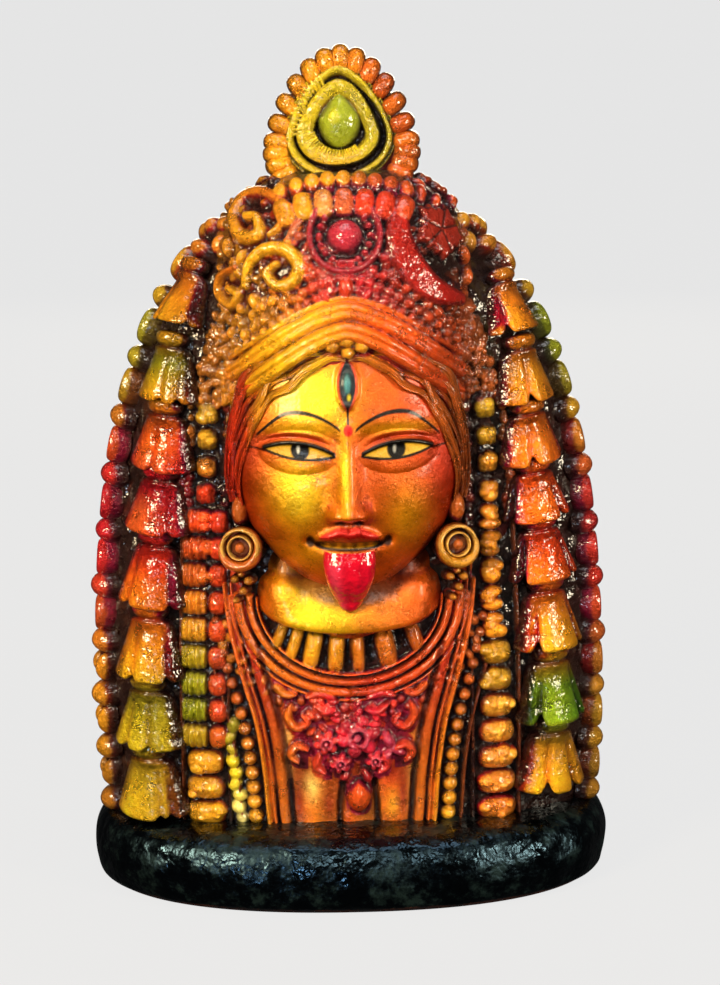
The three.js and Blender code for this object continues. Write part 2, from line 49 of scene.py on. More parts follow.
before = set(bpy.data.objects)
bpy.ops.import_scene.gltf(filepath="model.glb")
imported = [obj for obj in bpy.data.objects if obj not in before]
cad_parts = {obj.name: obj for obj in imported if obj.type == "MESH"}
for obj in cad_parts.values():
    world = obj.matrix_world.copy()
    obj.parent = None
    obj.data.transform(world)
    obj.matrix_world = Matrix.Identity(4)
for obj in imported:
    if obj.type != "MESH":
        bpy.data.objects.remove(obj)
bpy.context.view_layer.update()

MM = 0.001
NODE = "kali_figure"

# Heights over the ground and sizes, the same as in the frame. Bust and crown stand SET_BACK
# behind the plinth's middle
PLINTH_WIDTH = 125
PLINTH_DEPTH = 72
PLINTH_HEIGHT = 17.5
SET_BACK = 2
BUST_WIDTH = 117
BUST_HEIGHT = 150
CROWN_FOOT = 96
CROWN_WIDTH = 60
CROWN_HEIGHT = 74
CREST_WIDTH = 31
CREST_HEIGHT = 33
CREST_THICKNESS = 11
CREST_FOOT = 163
CREST_LEAN = 8
# Where the crest is widest
CREST_HEART = CREST_HEIGHT * 0.34
FACE_WIDTH = 52
FACE_HEIGHT = 61
FACE_CENTRE = 104.5
FACE_BACK = -16
FACE_ROUND = 16
FACE_SIXTH = FACE_HEIGHT / 6
# The face's relief is drawn in sixths, with the skull FACE_DOME high for FACE_ROUND millimetres
FACE_DOME = 1.8
FACE_RISE = FACE_ROUND / FACE_DOME
# How far the foot of a raised form goes into its ground
SINK = 0.8


def linear(code):
    """An sRGB hex colour as the linear one that the shaders take."""
    channels = [int(code[i : i + 2], 16) / 255 for i in (1, 3, 5)]
    return np.array([c / 12.92 if c <= 0.04045 else ((c + 0.055) / 1.055) ** 2.4 for c in channels])


def ramp(stops, value):
    """Colours read at values between (value, hex colour) stops."""
    places = [stop[0] for stop in stops]
    colours = np.array([linear(stop[1]) for stop in stops])
    return np.stack([np.interp(value, places, colours[:, i]) for i in range(3)], -1)


def mix(low, high, share):
    """A value between two by a share, which may go past either."""
    return low + (high - low) * share


def tint(low, high, share):
    """One colour turned to another by a share at each point."""
    return mix(low, high, np.asarray(share)[..., None])


def ease(low, high, value):
    """A smooth step from 0 to 1 between two values. With the higher one first, it falls."""
    share = np.clip((value - low) / (high - low), 0, 1)
    return share * share * (3 - 2 * share)


def hill(value, width):
    """A soft hump, 1 where the value is 0 and fading over a width."""
    return np.exp(-((value / width) ** 2))


def unit(vectors):
    """Vectors brought to a length of 1."""
    return vectors / np.linalg.norm(vectors, axis=-1, keepdims=True)


def wobble(points, size, seed=1):
    """Slow unevenness from -1 to 1 through space, the same on every run."""
    rng = np.random.default_rng(seed)
    total = 0
    for octave in (1, 2):
        ways = rng.normal(size=(3, 6)) * octave / size
        total = total + np.sin(points @ ways + rng.uniform(0, 6.28, 6)).mean(-1) / octave
    return np.clip(1.3 * total, -1, 1)


def follow(rows, share, column=1):
    """A smooth curve through rows of (share, value, value...), read at shares."""
    table = np.asarray(rows, float)
    knots, values = table[:, 0], table[:, column]
    last = len(knots) - 1
    at = np.clip(share, knots[0], knots[-1])
    i = np.clip(np.searchsorted(knots, at, side="left") - 1, 0, last - 1)
    before = np.maximum(np.arange(last + 1) - 1, 0)
    after = np.minimum(np.arange(last + 1) + 1, last)
    slopes = (values[after] - values[before]) / (knots[after] - knots[before])
    span = knots[i + 1] - knots[i]
    s = (at - knots[i]) / span
    bend = s * (1 - s) * span * ((1 - s) * slopes[i] - s * slopes[i + 1])
    return mix(values[i], values[i + 1], s * s * (3 - 2 * s)) + bend


class Plane:
    """A flat ground for carving: a place with axes across, up and out."""

    def __init__(self, origin, up, out):
        self.origin = np.asarray(origin, float)
        self.across = unit(np.cross(up, out))
        self.up = unit(np.cross(out, self.across))
        self.out = unit(np.asarray(out, float))

    def place(self, a, b, h):
        """Places at a height h over the plane."""
        a, b, h = np.broadcast_arrays(a, b, h)
        axes = np.stack([self.across, self.up, self.out])
        return self.origin + np.stack([a, b, h], -1) @ axes


class Loft:
    """A body of oval sections, which is also a ground for carving. Angles are 0 in front."""

    def __init__(self, foot, height, half_width, front, back, square, rows):
        self.foot, self.height = foot, height
        self.half_width, self.front, self.back = half_width, front, back
        self.square, self.rows = square, rows

    def section(self, z):
        """The half width, front and back of the section at a height."""
        share = (z - self.foot) / self.height
        sizes = (self.half_width, self.front, self.back)
        return [size * follow(self.rows, share, i + 1) for i, size in enumerate(sizes)]

    def on(self, angle, z):
        """The places on the skin at angles and heights."""
        angle, z = np.broadcast_arrays(np.asarray(angle, float), np.asarray(z, float))
        half, front, back = self.section(z)
        sine, cosine = np.sin(np.radians(angle)), np.cos(np.radians(angle))
        power = 2 / self.square
        x = half * np.sign(sine) * np.abs(sine) ** power
        depth = np.where(cosine > 0, -front, back) * np.abs(cosine) ** power
        return np.stack([x, depth + SET_BACK, z], -1)

    def out(self, angle, z):
        """The way the skin faces."""
        level = self.on(angle + 0.5, z) - self.on(angle - 0.5, z)
        up = self.on(angle, z + 0.5) - self.on(angle, z - 0.5)
        return unit(np.cross(level, up))

    def wrap(self, angle, z, h):
        """Places at a height h over the skin, by angle."""
        angle, z, h = np.broadcast_arrays(angle, z, h)
        return self.on(angle, z) + self.out(angle, z) * h[..., None]

    def place(self, x, z, h):
        """Places at a height h over the front, by their place across."""
        share = np.clip(np.abs(x) / self.section(z)[0], 0, 0.999)
        angle = np.sign(x) * np.degrees(np.arcsin(share ** (self.square / 2)))
        return self.wrap(angle, z, h)


# The bodies. Each row is a share of the height, then the shares of half width, front and back
BUST = Loft(
    foot=PLINTH_HEIGHT, height=BUST_HEIGHT, half_width=BUST_WIDTH / 2, front=24, back=24, square=2.4,
    rows=[
        (-0.05, 0.97, 0.8, 1), (0.15, 1, 0.9, 1), (0.28, 1, 0.9, 0.98), (0.42, 0.985, 0.82, 0.96),
        (0.55, 0.94, 0.82, 0.93), (0.68, 0.85, 0.9, 0.88), (0.81, 0.71, 0.92, 0.8),
        (0.88, 0.58, 0.82, 0.7), (0.94, 0.43, 0.62, 0.55), (1, 0.2, 0.35, 0.3),
    ],
)
CROWN = Loft(
    foot=CROWN_FOOT, height=CROWN_HEIGHT, half_width=CROWN_WIDTH / 2, front=31, back=20, square=2.5,
    rows=[
        (0, 0.84, 0.85, 0.9), (0.3, 0.93, 0.97, 1), (0.55, 1, 1, 1), (0.75, 1, 0.9, 0.95),
        (0.87, 0.88, 0.77, 0.8), (0.95, 0.64, 0.62, 0.62), (1, 0.4, 0.45, 0.42),
    ],
)
NECK = Loft(
    foot=64, height=15, half_width=22.5, front=28, back=12, square=3,
    rows=[
        (0, 0.92, 0.94, 1), (0.15, 1.03, 1.06, 1), (0.5, 1.05, 1.1, 1), (0.85, 1.02, 1.08, 1),
        (1, 0.96, 1, 1),
    ],
)
# The crest's front, which leans back
CREST_UP = (0, math.sin(math.radians(CREST_LEAN)), math.cos(math.radians(CREST_LEAN)))
CREST = Plane((0, SET_BACK - CREST_THICKNESS / 2, CREST_FOOT), CREST_UP, (0, -CREST_UP[2], CREST_UP[1]))


class Relief:
    """Sheets of points gathered into one piece, with a paint colour and a gilding at each."""

    def __init__(self):
        self.points, self.quads, self.tris, self.paint, self.gild = [], [], [], [], []
        self.count = 0

    def sheet(self, grid, paint, gild=0.5, closed=False, tip=False):
        """Adds a grid of points. A closed one joins its last column to its first, and a tip
        draws its first row together to one point."""
        rows, columns = grid.shape[:2]
        index = self.count + np.arange(rows * columns).reshape(rows, columns)
        right = np.roll(index, -1, 1) if closed else index[:, 1:]
        left = index if closed else index[:, :-1]
        quads = np.stack([left[:-1], right[:-1], right[1:], left[1:]], -1).reshape(-1, 4)
        points = grid.reshape(-1, 3)
        # The faces are turned to look away from the figure's upright axis
        away = (points - np.array([0, SET_BACK, 0])) * np.array([1, 1, 0.15])
        corners = points[quads - self.count]
        faces = np.cross(corners[:, 2] - corners[:, 0], corners[:, 3] - corners[:, 1])
        inward = (faces * away[quads[:, 0] - self.count]).sum() < 0
        if inward:
            quads = quads[:, ::-1]
        self.points.append(points)
        self.quads.append(quads)
        shape = (rows, columns, 3)
        self.paint.append(np.broadcast_to(paint, shape).reshape(-1, 3))
        self.gild.append(np.broadcast_to(gild, shape[:2]).reshape(-1))
        self.count += rows * columns
        if tip:
            ring = index[0]
            centre = self.count
            self.points.append(grid[0].mean(0)[None])
            self.paint.append(self.paint[-1][:1])
            self.gild.append(self.gild[-1][:1])
            self.count += 1
            after = np.roll(ring, -1)
            fan = np.stack([np.full(len(ring), centre), after, ring], -1)
            self.tris.append(fan[:, ::-1] if inward else fan)

    def build(self, name, material):
        """Makes the piece, which stands for the frame's casting."""
        points = np.concatenate(self.points)
        quads = np.concatenate(self.quads)
        tris = np.concatenate(self.tris) if self.tris else np.zeros((0, 3), int)
        mesh = bpy.data.meshes.new(name)
        mesh.vertices.add(len(points))
        mesh.vertices.foreach_set("co", (points * MM).astype(np.float32).ravel())
        corners = np.concatenate([quads.ravel(), tris.ravel()])
        mesh.loops.add(len(corners))
        mesh.loops.foreach_set("vertex_index", corners.astype(np.int32))
        starts = np.concatenate([np.arange(len(quads)) * 4, quads.size + np.arange(len(tris)) * 3])
        mesh.polygons.add(len(starts))
        mesh.polygons.foreach_set("loop_start", starts.astype(np.int32))
        mesh.update(calc_edges=True)
        mesh.validate()
        mesh.shade_smooth()
        colours = np.ones((len(points), 4), np.float32)
        colours[:, :3] = np.concatenate(self.paint)
        mesh.attributes.new("paint", "FLOAT_COLOR", "POINT").data.foreach_set("color", colours.ravel())
        gild = np.concatenate(self.gild).astype(np.float32)
        mesh.attributes.new("gild", "FLOAT", "POINT").data.foreach_set("value", gild)
        mesh.attributes.new("recess", "FLOAT", "POINT")
        mesh.materials.append(material)
        piece = bpy.data.objects.new(name, mesh)
        bpy.context.scene.collection.objects.link(piece)
        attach(piece, "root")
        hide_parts(NODE)


def dome(t):
    """The section of a half round, by the share of its half width."""
    return np.sqrt(np.clip(1 - t * t, 0, 1))


def ribbon(relief, ground, path, wide, high, colour, columns):
    """A raised strip of half round section along a path on a ground."""
    path = np.asarray(path, float)
    along = unit(np.gradient(path, axis=0))
    t = np.linspace(-1, 1, columns)[None, :]
    wide, high = (np.broadcast_to(size, len(path))[:, None] for size in (wide, high))
    x = path[:, :1] - along[:, 1:] * t * wide
    z = path[:, 1:] + along[:, :1] * t * wide
    lift = (high + SINK) * dome(t) - SINK
    relief.sheet(ground.place(x, z, lift), colour, 0.5)


def knob(relief, ground, x, z, wide, long, high, paint, *, turn=0, rings=7, sides=18, outline=None,
         shape=dome, sink=SINK, gild=0.5, foot=0.28):
    """A raised boss on a ground: an oval, or an outline given as a share for each turn. Its
    top is painted a little lighter and its foot darker by a share, as painted highlight and
    painted shade where it meets the ground."""
    r = np.sin(np.linspace(0.08, math.pi / 2, rings))[:, None]
    theta = np.linspace(0, 2 * math.pi, sides, endpoint=False)[None, :]
    reach = r * (outline(theta) if outline else 1)
    a, b = reach * np.cos(theta) * wide / 2, reach * np.sin(theta) * long / 2
    lean = math.radians(turn)
    across = x + a * math.cos(lean) - b * math.sin(lean)
    up = z + a * math.sin(lean) + b * math.cos(lean)
    lift = (high + sink) * shape(r + 0 * theta) - sink
    # Painted highlight on the top and painted shade towards the foot
    colour = paint * mix(1.15, foot, ease(0.62, 1, r + 0 * theta))[..., None]
    relief.sheet(ground.place(across, up, lift), colour, gild, closed=True, tip=True)


class Carving:
    """The skin of a body worked like clay: forms are raised out of it and painted."""

    def __init__(self, ground, across, up, wash):
        """Takes turns and heights on a loft, or places across and up a plane."""
        self.ground = ground
        across, up = np.broadcast_arrays(across, up)
        if isinstance(ground, Plane):
            self.skin, self.out = ground.place(across, up, 0), ground.out
            self.x, self.z = across, up
        else:
            self.skin, self.out = ground.on(across, up), ground.out(across, up)
            self.x, self.z = self.skin[..., 0], self.skin[..., 2]
        self.high = 0.35 * wobble(self.skin, 2.6, 31)
        self.paint = np.array(np.broadcast_to(wash(self.x, self.z), self.skin.shape))
        self.gild = np.full(up.shape, 0.7)

    def lift(self, near, high, colour, gild=0.7):
        """Raises points to a form where it is higher than they are, and paints them there."""
        gap = high - self.high[near]
        self.high[near] += (gap + np.sqrt(gap * gap + 0.01)) / 2
        cover = ease(-0.25, 0.1, gap)
        self.paint[near] = tint(self.paint[near], colour, cover)
        self.gild[near] = mix(self.gild[near], gild, cover)

    def boss(self, x, z, wide, long, high, colour, *, turn=0, outline=None, shape=dome, ribs=None,
             gild=0.7):
        """A raised oval, or an outline given as a share for each turn. Ribs are given as their
        number over the half width and their depth as a share."""
        foot = self.ground.place(np.array(float(x)), np.array(float(z)), np.array(0.0))
        tip = self.ground.place(np.array(float(x)), np.array(float(z)), np.array(1.0))
        spot = Plane(foot, (0, 0, 1), tip - foot)
        offset = self.skin - foot
        near = (offset * offset).sum(-1) < (0.8 * max(wide, long)) ** 2
        a, b = offset[near] @ spot.across, offset[near] @ spot.up
        lean = math.radians(turn)
        u = (a * math.cos(lean) + b * math.sin(lean)) * 2 / wide
        v = (b * math.cos(lean) - a * math.sin(lean)) * 2 / long
        reach = np.hypot(u, v)
        if outline:
            reach = reach / outline(np.arctan2(v, u))
        rise = high * shape(np.minimum(reach, 1))
        if ribs:
            rise = rise * (1 - ribs[1] * (0.5 + 0.5 * np.cos(ribs[0] * math.pi * u)))
        self.lift(near, np.where(reach < 1, rise, -9), colour, gild)

    def across(self, path, wide):
        """The points within half a width of a path: their mask, share of that width and place."""
        path = np.asarray(path, float)
        wide = np.broadcast_to(wide, len(path))
        line = self.ground.place(path[:, 0], path[:, 1], 0)
        low, high = path.min(0) - wide.max(), path.max(0) + wide.max()
        near = (self.x > low[0]) & (self.x < high[0]) & (self.z > low[1]) & (self.z < high[1])
        points = self.skin[near]
        gaps = (points**2).sum(1)[:, None] + (line**2).sum(1) - 2 * points @ line.T
        at = gaps.argmin(1)
        share = np.sqrt(np.maximum(gaps[np.arange(len(at)), at], 0)) / wide[at]
        return near, share, at

    def stroke(self, path, wide, high, colour, *, shape=dome, gild=0.7):
        """A ridge along a path. The colour may be one for each place of the path."""
        near, share, at = self.across(path, wide)
        rise = np.broadcast_to(high, len(path))[at] * shape(np.minimum(share, 1))
        colour = np.asarray(colour)
        self.lift(near, np.where(share < 1, rise, -9), colour[at] if colour.ndim == 2 else colour, gild)

    def groove(self, path, wide, deep, bottom=0.0):
        """A cut along a path, dark or of a given colour at its bottom."""
        near, share, _ = self.across(path, wide)
        cut = dome(np.minimum(share, 1))
        self.high[near] -= deep * cut
        self.paint[near] = tint(self.paint[near], bottom, 0.85 * cut)

    def sheet(self, relief, **options):
        """Adds the carved skin to a piece, painted lighter on its heights and darker in its hollows, as
        painted highlight and painted shade.
        """
        rise = ease(0.2, 2.9, self.high)[..., None]
        # Painted highlight on the heights and painted shade in the hollows
        colour = self.paint * mix(0.38, 1.22, rise)
        relief.sheet(self.skin + self.out * self.high[..., None], colour, self.gild, **options)

    def build(self, name):
        """Makes the carved skin a piece of its own."""
        relief = Relief()
        self.sheet(relief)
        relief.build(name, brushed_lacquer())


def trace(points, count=60):
    """A smooth path through a few places, evenly spaced along its length."""
    points = np.asarray(points, float)
    steps = np.hypot(*np.diff(points, axis=0).T)
    run = np.concatenate([[0], np.cumsum(steps)]) / steps.sum()
    rows = np.column_stack([run, points])
    s = np.linspace(0, 1, count)
    return np.stack([follow(rows, s, 1), follow(rows, s, 2)], -1)


def boxy(turn):
    """A square outline with round corners."""
    return (np.cos(turn) ** 4 + np.sin(turn) ** 4) ** -0.25


def soft_box(turn):
    """An outline between a square and an oval."""
    return boxy(turn) ** 0.6


def drop(turn):
    """A drop outline, drawn in on both sides of its top."""
    return 1 - 0.3 * np.maximum(0, np.sin(turn)) * np.abs(np.cos(turn))


def plump(t):
    """A section fuller than a half round."""
    return dome(t) ** 0.6


def full(t):
    """A section a little fuller than a half round."""
    return dome(t) ** 0.7


def flat(t):
    """A form with a level top and rounded edges."""
    return np.minimum(1, 1.9 * dome(t))


def arc(centre, radii, start, end, count):
    """Places along part of an oval, between two turns in degrees."""
    turn = np.radians(np.linspace(start, end, count))
    return np.stack([centre[0] + radii[0] * np.cos(turn), centre[1] + radii[1] * np.sin(turn)], -1)


def fade(count, ends):
    """Full along a strip and drawn in over a share at both its ends."""
    s = np.linspace(0, 1, count)
    return np.sqrt(np.clip(np.minimum(s, 1 - s) / ends, 0, 1) + 1e-4).clip(0, 1)


def add_node(tree, kind, settings=None, inputs=None):
    """A node with its settings, and its inputs set to values or linked from sockets."""
    node = tree.nodes.new(kind)
    for name, value in (settings or {}).items():
        setattr(node, name, value)
    for name, value in (inputs or {}).items():
        if isinstance(value, bpy.types.NodeSocket):
            tree.links.new(value, node.inputs[name])
        else:
            node.inputs[name].default_value = value
    return node


def new_material(name):
    """A material with nothing but its output."""
    material = bpy.data.materials.new(name)
    material.use_nodes = True
    tree = material.node_tree
    tree.nodes.clear()
    output = tree.nodes.new("ShaderNodeOutputMaterial")
    return material, tree, output


def rgba(colour):
    """A linear colour with its alpha, as the sockets take it."""
    return (*colour, 1)


def brushed_lacquer(name="brushed_metallic_lacquer", polish=0.0):
    """Metallic lacquer brushed by hand over moulded clay, with dark staining and painted shade in
    the hollows and a thick clear varnish on top. The eye gets warm gold that flares where the
    light falls, uneven colour from one stroke to the next, and small white glints from the
    varnish. With polish it is rubbed smoother and its varnish is thin, as on the face."""
    found = bpy.data.materials.get(name)
    if found:
        return found
    colours = bpy.context.scene.idol_colours
    material, tree, output = new_material(name)
    place = add_node(tree, "ShaderNodeTexCoord").outputs["Object"]
    paint = add_node(tree, "ShaderNodeAttribute", {"attribute_name": "paint"})
    recess = add_node(tree, "ShaderNodeAttribute", {"attribute_name": "recess"})
    gild = add_node(tree, "ShaderNodeAttribute", {"attribute_name": "gild"})

    # Patches 4 mm across, the width of the brush
    patches = add_node(tree, "ShaderNodeTexNoise", None,
                       {"Vector": place, "Scale": 1 / (4 * MM), "Detail": 3, "Roughness": 0.6})
    value = add_node(tree, "ShaderNodeMapRange", None,
                     {"Value": patches.outputs["Fac"], "From Min": 0.3, "From Max": 0.7,
                      "To Min": 0.78, "To Max": 1.22})
    toned = add_node(tree, "ShaderNodeHueSaturation", None,
                     {"Color": paint.outputs["Color"], "Value": value.outputs["Result"]})

    # Grain of the mica in the lacquer, real flakes of 0.05 mm drawn at 0.4 mm so that it shows
    grain = add_node(tree, "ShaderNodeTexNoise", None,
                     {"Vector": place, "Scale": 1 / (0.4 * MM), "Detail": 2, "Roughness": 0.7})
    flecks = add_node(tree, "ShaderNodeMapRange", None,
                      {"Value": grain.outputs["Fac"], "From Min": 0.35, "From Max": 0.7,
                       "To Min": 0.86, "To Max": 1.14})
    flecked = add_node(tree, "ShaderNodeHueSaturation", None,
                       {"Color": toned.outputs["Color"], "Value": flecks.outputs["Result"]})

    # Staining and painted shade in the hollows and on sides turned away, its edge broken by noise
    # of 1.1 mm: first the lacquer's own colour gone deep and brown, then black at the bottom
    deep = add_node(tree, "ShaderNodeGamma", None,
                    {"Color": flecked.outputs["Color"], "Gamma": 1.7})
    darkened = add_node(tree, "ShaderNodeHueSaturation", None,
                        {"Color": deep.outputs["Color"], "Hue": 0.475, "Value": 0.6, "Saturation": 1.5})
    ragged = add_node(tree, "ShaderNodeTexNoise", None,
                      {"Vector": place, "Scale": 1 / (1.1 * MM), "Detail": 3, "Roughness": 0.6})
    broken = add_node(tree, "ShaderNodeMath", {"operation": "MULTIPLY_ADD"},
                      {0: ragged.outputs["Fac"], 1: 0.6, 2: recess.outputs["Fac"]})
    brown = add_node(tree, "ShaderNodeMapRange", {"interpolation_type": "SMOOTHSTEP"},
                     {"Value": broken.outputs[0], "From Min": 0.35, "From Max": 0.9})
    browned = add_node(tree, "ShaderNodeMix", {"data_type": "RGBA"},
                       {"Factor": brown.outputs["Result"], "A": flecked.outputs["Color"],
                        "B": darkened.outputs["Color"]})
    stain = add_node(tree, "ShaderNodeMapRange", {"interpolation_type": "SMOOTHSTEP"},
                     {"Value": broken.outputs[0], "From Min": 0.95, "From Max": 1.4})
    stained_and_shaded = add_node(tree, "ShaderNodeMix", {"data_type": "RGBA"},
                       {"Factor": stain.outputs["Result"], "A": browned.outputs["Result"],
                        "B": rgba(colours.stain)})

    # Brush marks of 1.1 mm under the varnish, which itself lies in pools as wide as the patches
    rough = add_node(tree, "ShaderNodeMapRange", None,
                     {"Value": patches.outputs["Fac"], "From Min": 0.3, "From Max": 0.7,
                      "To Min": 0.22, "To Max": 0.42})
    dents = add_node(tree, "ShaderNodeTexNoise", None,
                     {"Vector": place, "Scale": 1 / (1.1 * MM), "Detail": 5, "Roughness": 0.7})
    bump = add_node(tree, "ShaderNodeBump", None,
                    {"Height": dents.outputs["Fac"], "Strength": mix(0.85, 0.35, polish),
                     "Distance": 1 * MM})
    pools = add_node(tree, "ShaderNodeBump", None,
                     {"Height": patches.outputs["Fac"], "Strength": mix(0.8, 0.2, polish),
                      "Distance": 1.2 * MM})
    skin = add_node(tree, "ShaderNodeBsdfPrincipled", None,
                    {"Base Color": stained_and_shaded.outputs["Result"], "Metallic": gild.outputs["Fac"],
                     "Roughness": rough.outputs["Result"], "IOR": 1.5,
                     "Coat Weight": mix(1, 0.3, polish), "Coat Roughness": mix(0.09, 0.18, polish),
                     "Coat IOR": 1.5, "Normal": bump.outputs["Normal"],
                     "Coat Normal": pools.outputs["Normal"]})
    tree.links.new(skin.outputs["BSDF"], output.inputs["Surface"])
    return material


def black_enamel():
    """Black enamel brushed thickly over the clay of the plinth. The eye gets deep black with a
    bluish, broken gloss, a grey-green blooming in blotches that is partly a painted sheen, and
    worn red clay at the foot. Here the gild attribute holds the wear."""
    colours = bpy.context.scene.idol_colours
    material, tree, output = new_material("black_brushed_enamel")
    place = add_node(tree, "ShaderNodeTexCoord").outputs["Object"]
    paint = add_node(tree, "ShaderNodeAttribute", {"attribute_name": "paint"})
    wear = add_node(tree, "ShaderNodeAttribute", {"attribute_name": "gild"})

    # Grey-green blooming in blotches of about 6.5 mm, partly a painted sheen, duller than the rest
    blotches = add_node(tree, "ShaderNodeTexNoise", None,
                        {"Vector": place, "Scale": 1 / (6.5 * MM), "Detail": 6, "Roughness": 0.72})
    bloom_and_sheen = add_node(tree, "ShaderNodeMapRange", {"interpolation_type": "SMOOTHSTEP"},
                     {"Value": blotches.outputs["Fac"], "From Min": 0.5, "From Max": 0.68})
    with_bloom_and_sheen = add_node(tree, "ShaderNodeMix", {"data_type": "RGBA"},
                       {"Factor": bloom_and_sheen.outputs["Result"], "A": paint.outputs["Color"],
                        "B": rgba(colours.bloom_and_sheen)})
    worn = add_node(tree, "ShaderNodeMath", {"operation": "MULTIPLY_ADD"},
                    {0: blotches.outputs["Fac"], 1: 0.9, 2: wear.outputs["Fac"]})
    bare = add_node(tree, "ShaderNodeMapRange", {"interpolation_type": "SMOOTHSTEP"},
                    {"Value": worn.outputs[0], "From Min": 0.95, "From Max": 1.2})
    base = add_node(tree, "ShaderNodeMix", {"data_type": "RGBA"},
                    {"Factor": bare.outputs["Result"], "A": with_bloom_and_sheen.outputs["Result"],
                     "B": rgba(colours.clay)})
    rough = add_node(tree, "ShaderNodeMapRange", None,
                     {"Value": blotches.outputs["Fac"], "From Min": 0.4, "From Max": 0.6,
                      "To Min": 0.14, "To Max": 0.42})

    # Swells of 11 mm, left by a thick coat on hand-smoothed clay
    broad = add_node(tree, "ShaderNodeTexNoise", None,
                     {"Vector": place, "Scale": 1 / (11 * MM), "Detail": 4, "Roughness": 0.55})
    bump = add_node(tree, "ShaderNodeBump", None,
                    {"Height": broad.outputs["Fac"], "Strength": 0.6, "Distance": 4 * MM})
    skin = add_node(tree, "ShaderNodeBsdfPrincipled", None,
                    {"Base Color": base.outputs["Result"], "Roughness": rough.outputs["Result"],
                     "IOR": 1.5, "Specular IOR Level": 0.55,
                     "Specular Tint": rgba(linear("#98CAEE")), "Normal": bump.outputs["Normal"]})
    tree.links.new(skin.outputs["BSDF"], output.inputs["Surface"])
    return material


def wet_enamel():
    """Crimson gloss enamel, flowed on thickly with a round brush. The eye gets a wet, even
    red with a broad pale shine, and slow waves of 2.4 mm where it flowed."""
    material, tree, output = new_material("crimson_gloss_enamel")
    place = add_node(tree, "ShaderNodeTexCoord").outputs["Object"]
    paint = add_node(tree, "ShaderNodeAttribute", {"attribute_name": "paint"})
    flow = add_node(tree, "ShaderNodeTexNoise", None,
                    {"Vector": place, "Scale": 0.42 / MM, "Detail": 2, "Roughness": 0.5})
    value = add_node(tree, "ShaderNodeMapRange", None,
                     {"Value": flow.outputs["Fac"], "From Min": 0.3, "From Max": 0.7,
                      "To Min": 0.85, "To Max": 1.15})
    toned = add_node(tree, "ShaderNodeHueSaturation", None,
                     {"Color": paint.outputs["Color"], "Value": value.outputs["Result"]})
    bump = add_node(tree, "ShaderNodeBump", None,
                    {"Height": flow.outputs["Fac"], "Strength": 0.6, "Distance": 1.6 * MM})
    skin = add_node(tree, "ShaderNodeBsdfPrincipled", None,
                    {"Base Color": toned.outputs["Color"], "Roughness": 0.14, "IOR": 1.52,
                     "Coat Weight": 0.8, "Coat Roughness": 0.06, "Normal": bump.outputs["Normal"]})
    tree.links.new(skin.outputs["BSDF"], output.inputs["Surface"])
    return material


# Colours of the lacquer down each garland, by height in millimetres
LEFT_BELLS = [
    (20, "#D8AC20"), (36, "#C0A81E"), (50, "#A0981A"), (58, "#D98A14"), (72, "#E06A12"),
    (80, "#D02C10"), (95, "#B40A22"), (104, "#C01420"), (111, "#DE4A12"), (121, "#B0780E"),
    (128, "#86860F"), (135, "#C08812"), (145, "#DE7C14"), (156, "#C87A18"),
]
RIGHT_BELLS = [
    (20, "#E8A018"), (34, "#D8961A"), (42, "#4E8C18"), (50, "#5E8A16"), (58, "#E0A018"),
    (70, "#E07812"), (80, "#DC3A10"), (95, "#DE4A12"), (111, "#DE6C12"), (125, "#C07812"),
    (140, "#DC7414"), (156, "#C88A20"),
]
LEFT_CHAIN = [
    (20, "#A86A14"), (36, "#E09A1A"), (56, "#D88A1A"), (66, "#C8501A"), (76, "#C02020"),
    (92, "#C01228"), (104, "#C82A1C"), (112, "#C87018"), (122, "#A8901C"), (134, "#9A9420"),
    (144, "#D09A1C"), (156, "#C07A1C"),
]
RIGHT_CHAIN = [
    (20, "#A87418"), (40, "#C8921C"), (58, "#B0581A"), (70, "#C02A18"), (92, "#A8141E"),
    (104, "#C06418"), (112, "#C8901C"), (122, "#8E8E12"), (134, "#8A9414"), (144, "#D08A18"),
    (156, "#C08A24"),
]
LEFT_OUTER_STRING = [
    (18, "#E0A01C"), (34, "#D0901A"), (44, "#9AA010"), (56, "#A8A014"), (66, "#D8941A"),
    (80, "#D05A18"), (98, "#C83414"), (106, "#B88420"), (112, "#B08820"),
]
LEFT_INNER_STRING = [
    (18, "#E8A82A"), (32, "#E08A18"), (42, "#C8401A"), (60, "#C8481A"), (72, "#D04414"),
    (98, "#C82C14"), (106, "#B88420"), (112, "#B08820"),
]
RIGHT_STRING = [
    (18, "#D8761A"), (28, "#E08A2A"), (44, "#D8922A"), (56, "#A8881A"), (64, "#D8861A"),
    (90, "#D8841C"), (104, "#B87A1C"), (112, "#A8841C"),
]
# The dark between the carving and of the ground, and the colour of its specks by height
HOLLOW = "#2A0803"
GROUND_BLACK = "#240803"
GROUND_WASH = [
    (18, "#5A3A10"), (50, "#3A3A10"), (70, "#6A2A10"), (95, "#5A1010"), (120, "#4A2A10"),
    (150, "#6A3A10"),
]
# Colours across the crown and the band, by place from left to right in millimetres
CROWN_WASH = [
    (-30, "#D4801C"), (-22, "#ECA41E"), (-13, "#E8901A"), (-8, "#CC4424"), (0, "#BC1E30"),
    (8, "#B82420"), (15, "#B83A16"), (24, "#BC4818"), (30, "#B4581A"),
]
BAND_WASH = [
    (-29, "#C86414"), (-22, "#E09814"), (-14, "#F0B814"), (-5, "#EFA416"), (1, "#E07418"),
    (8, "#DC5E16"), (18, "#C84A14"), (29, "#A83A14"),
]
PETAL_WASH = [
    (-14, "#DC8A16"), (-8, "#E0A018"), (-3, "#E08A50"), (2, "#D03818"), (9, "#CC3416"), (16, "#C04A16"),
]

# Colours across the crest, and the yellow of its rings and rays
CREST_WASH = [(-16, "#DE9A18"), (-6, "#E0A81C"), (2, "#D8901A"), (8, "#C86A16"), (16, "#B04A12")]
CREST_YELLOW = "#D0B41E"

# The crown's band: half its breadth, the height of its middle at the peak and its fall from there
BAND_HALF = 29.5
BAND_PEAK = 139.7
BAND_FALL = 21
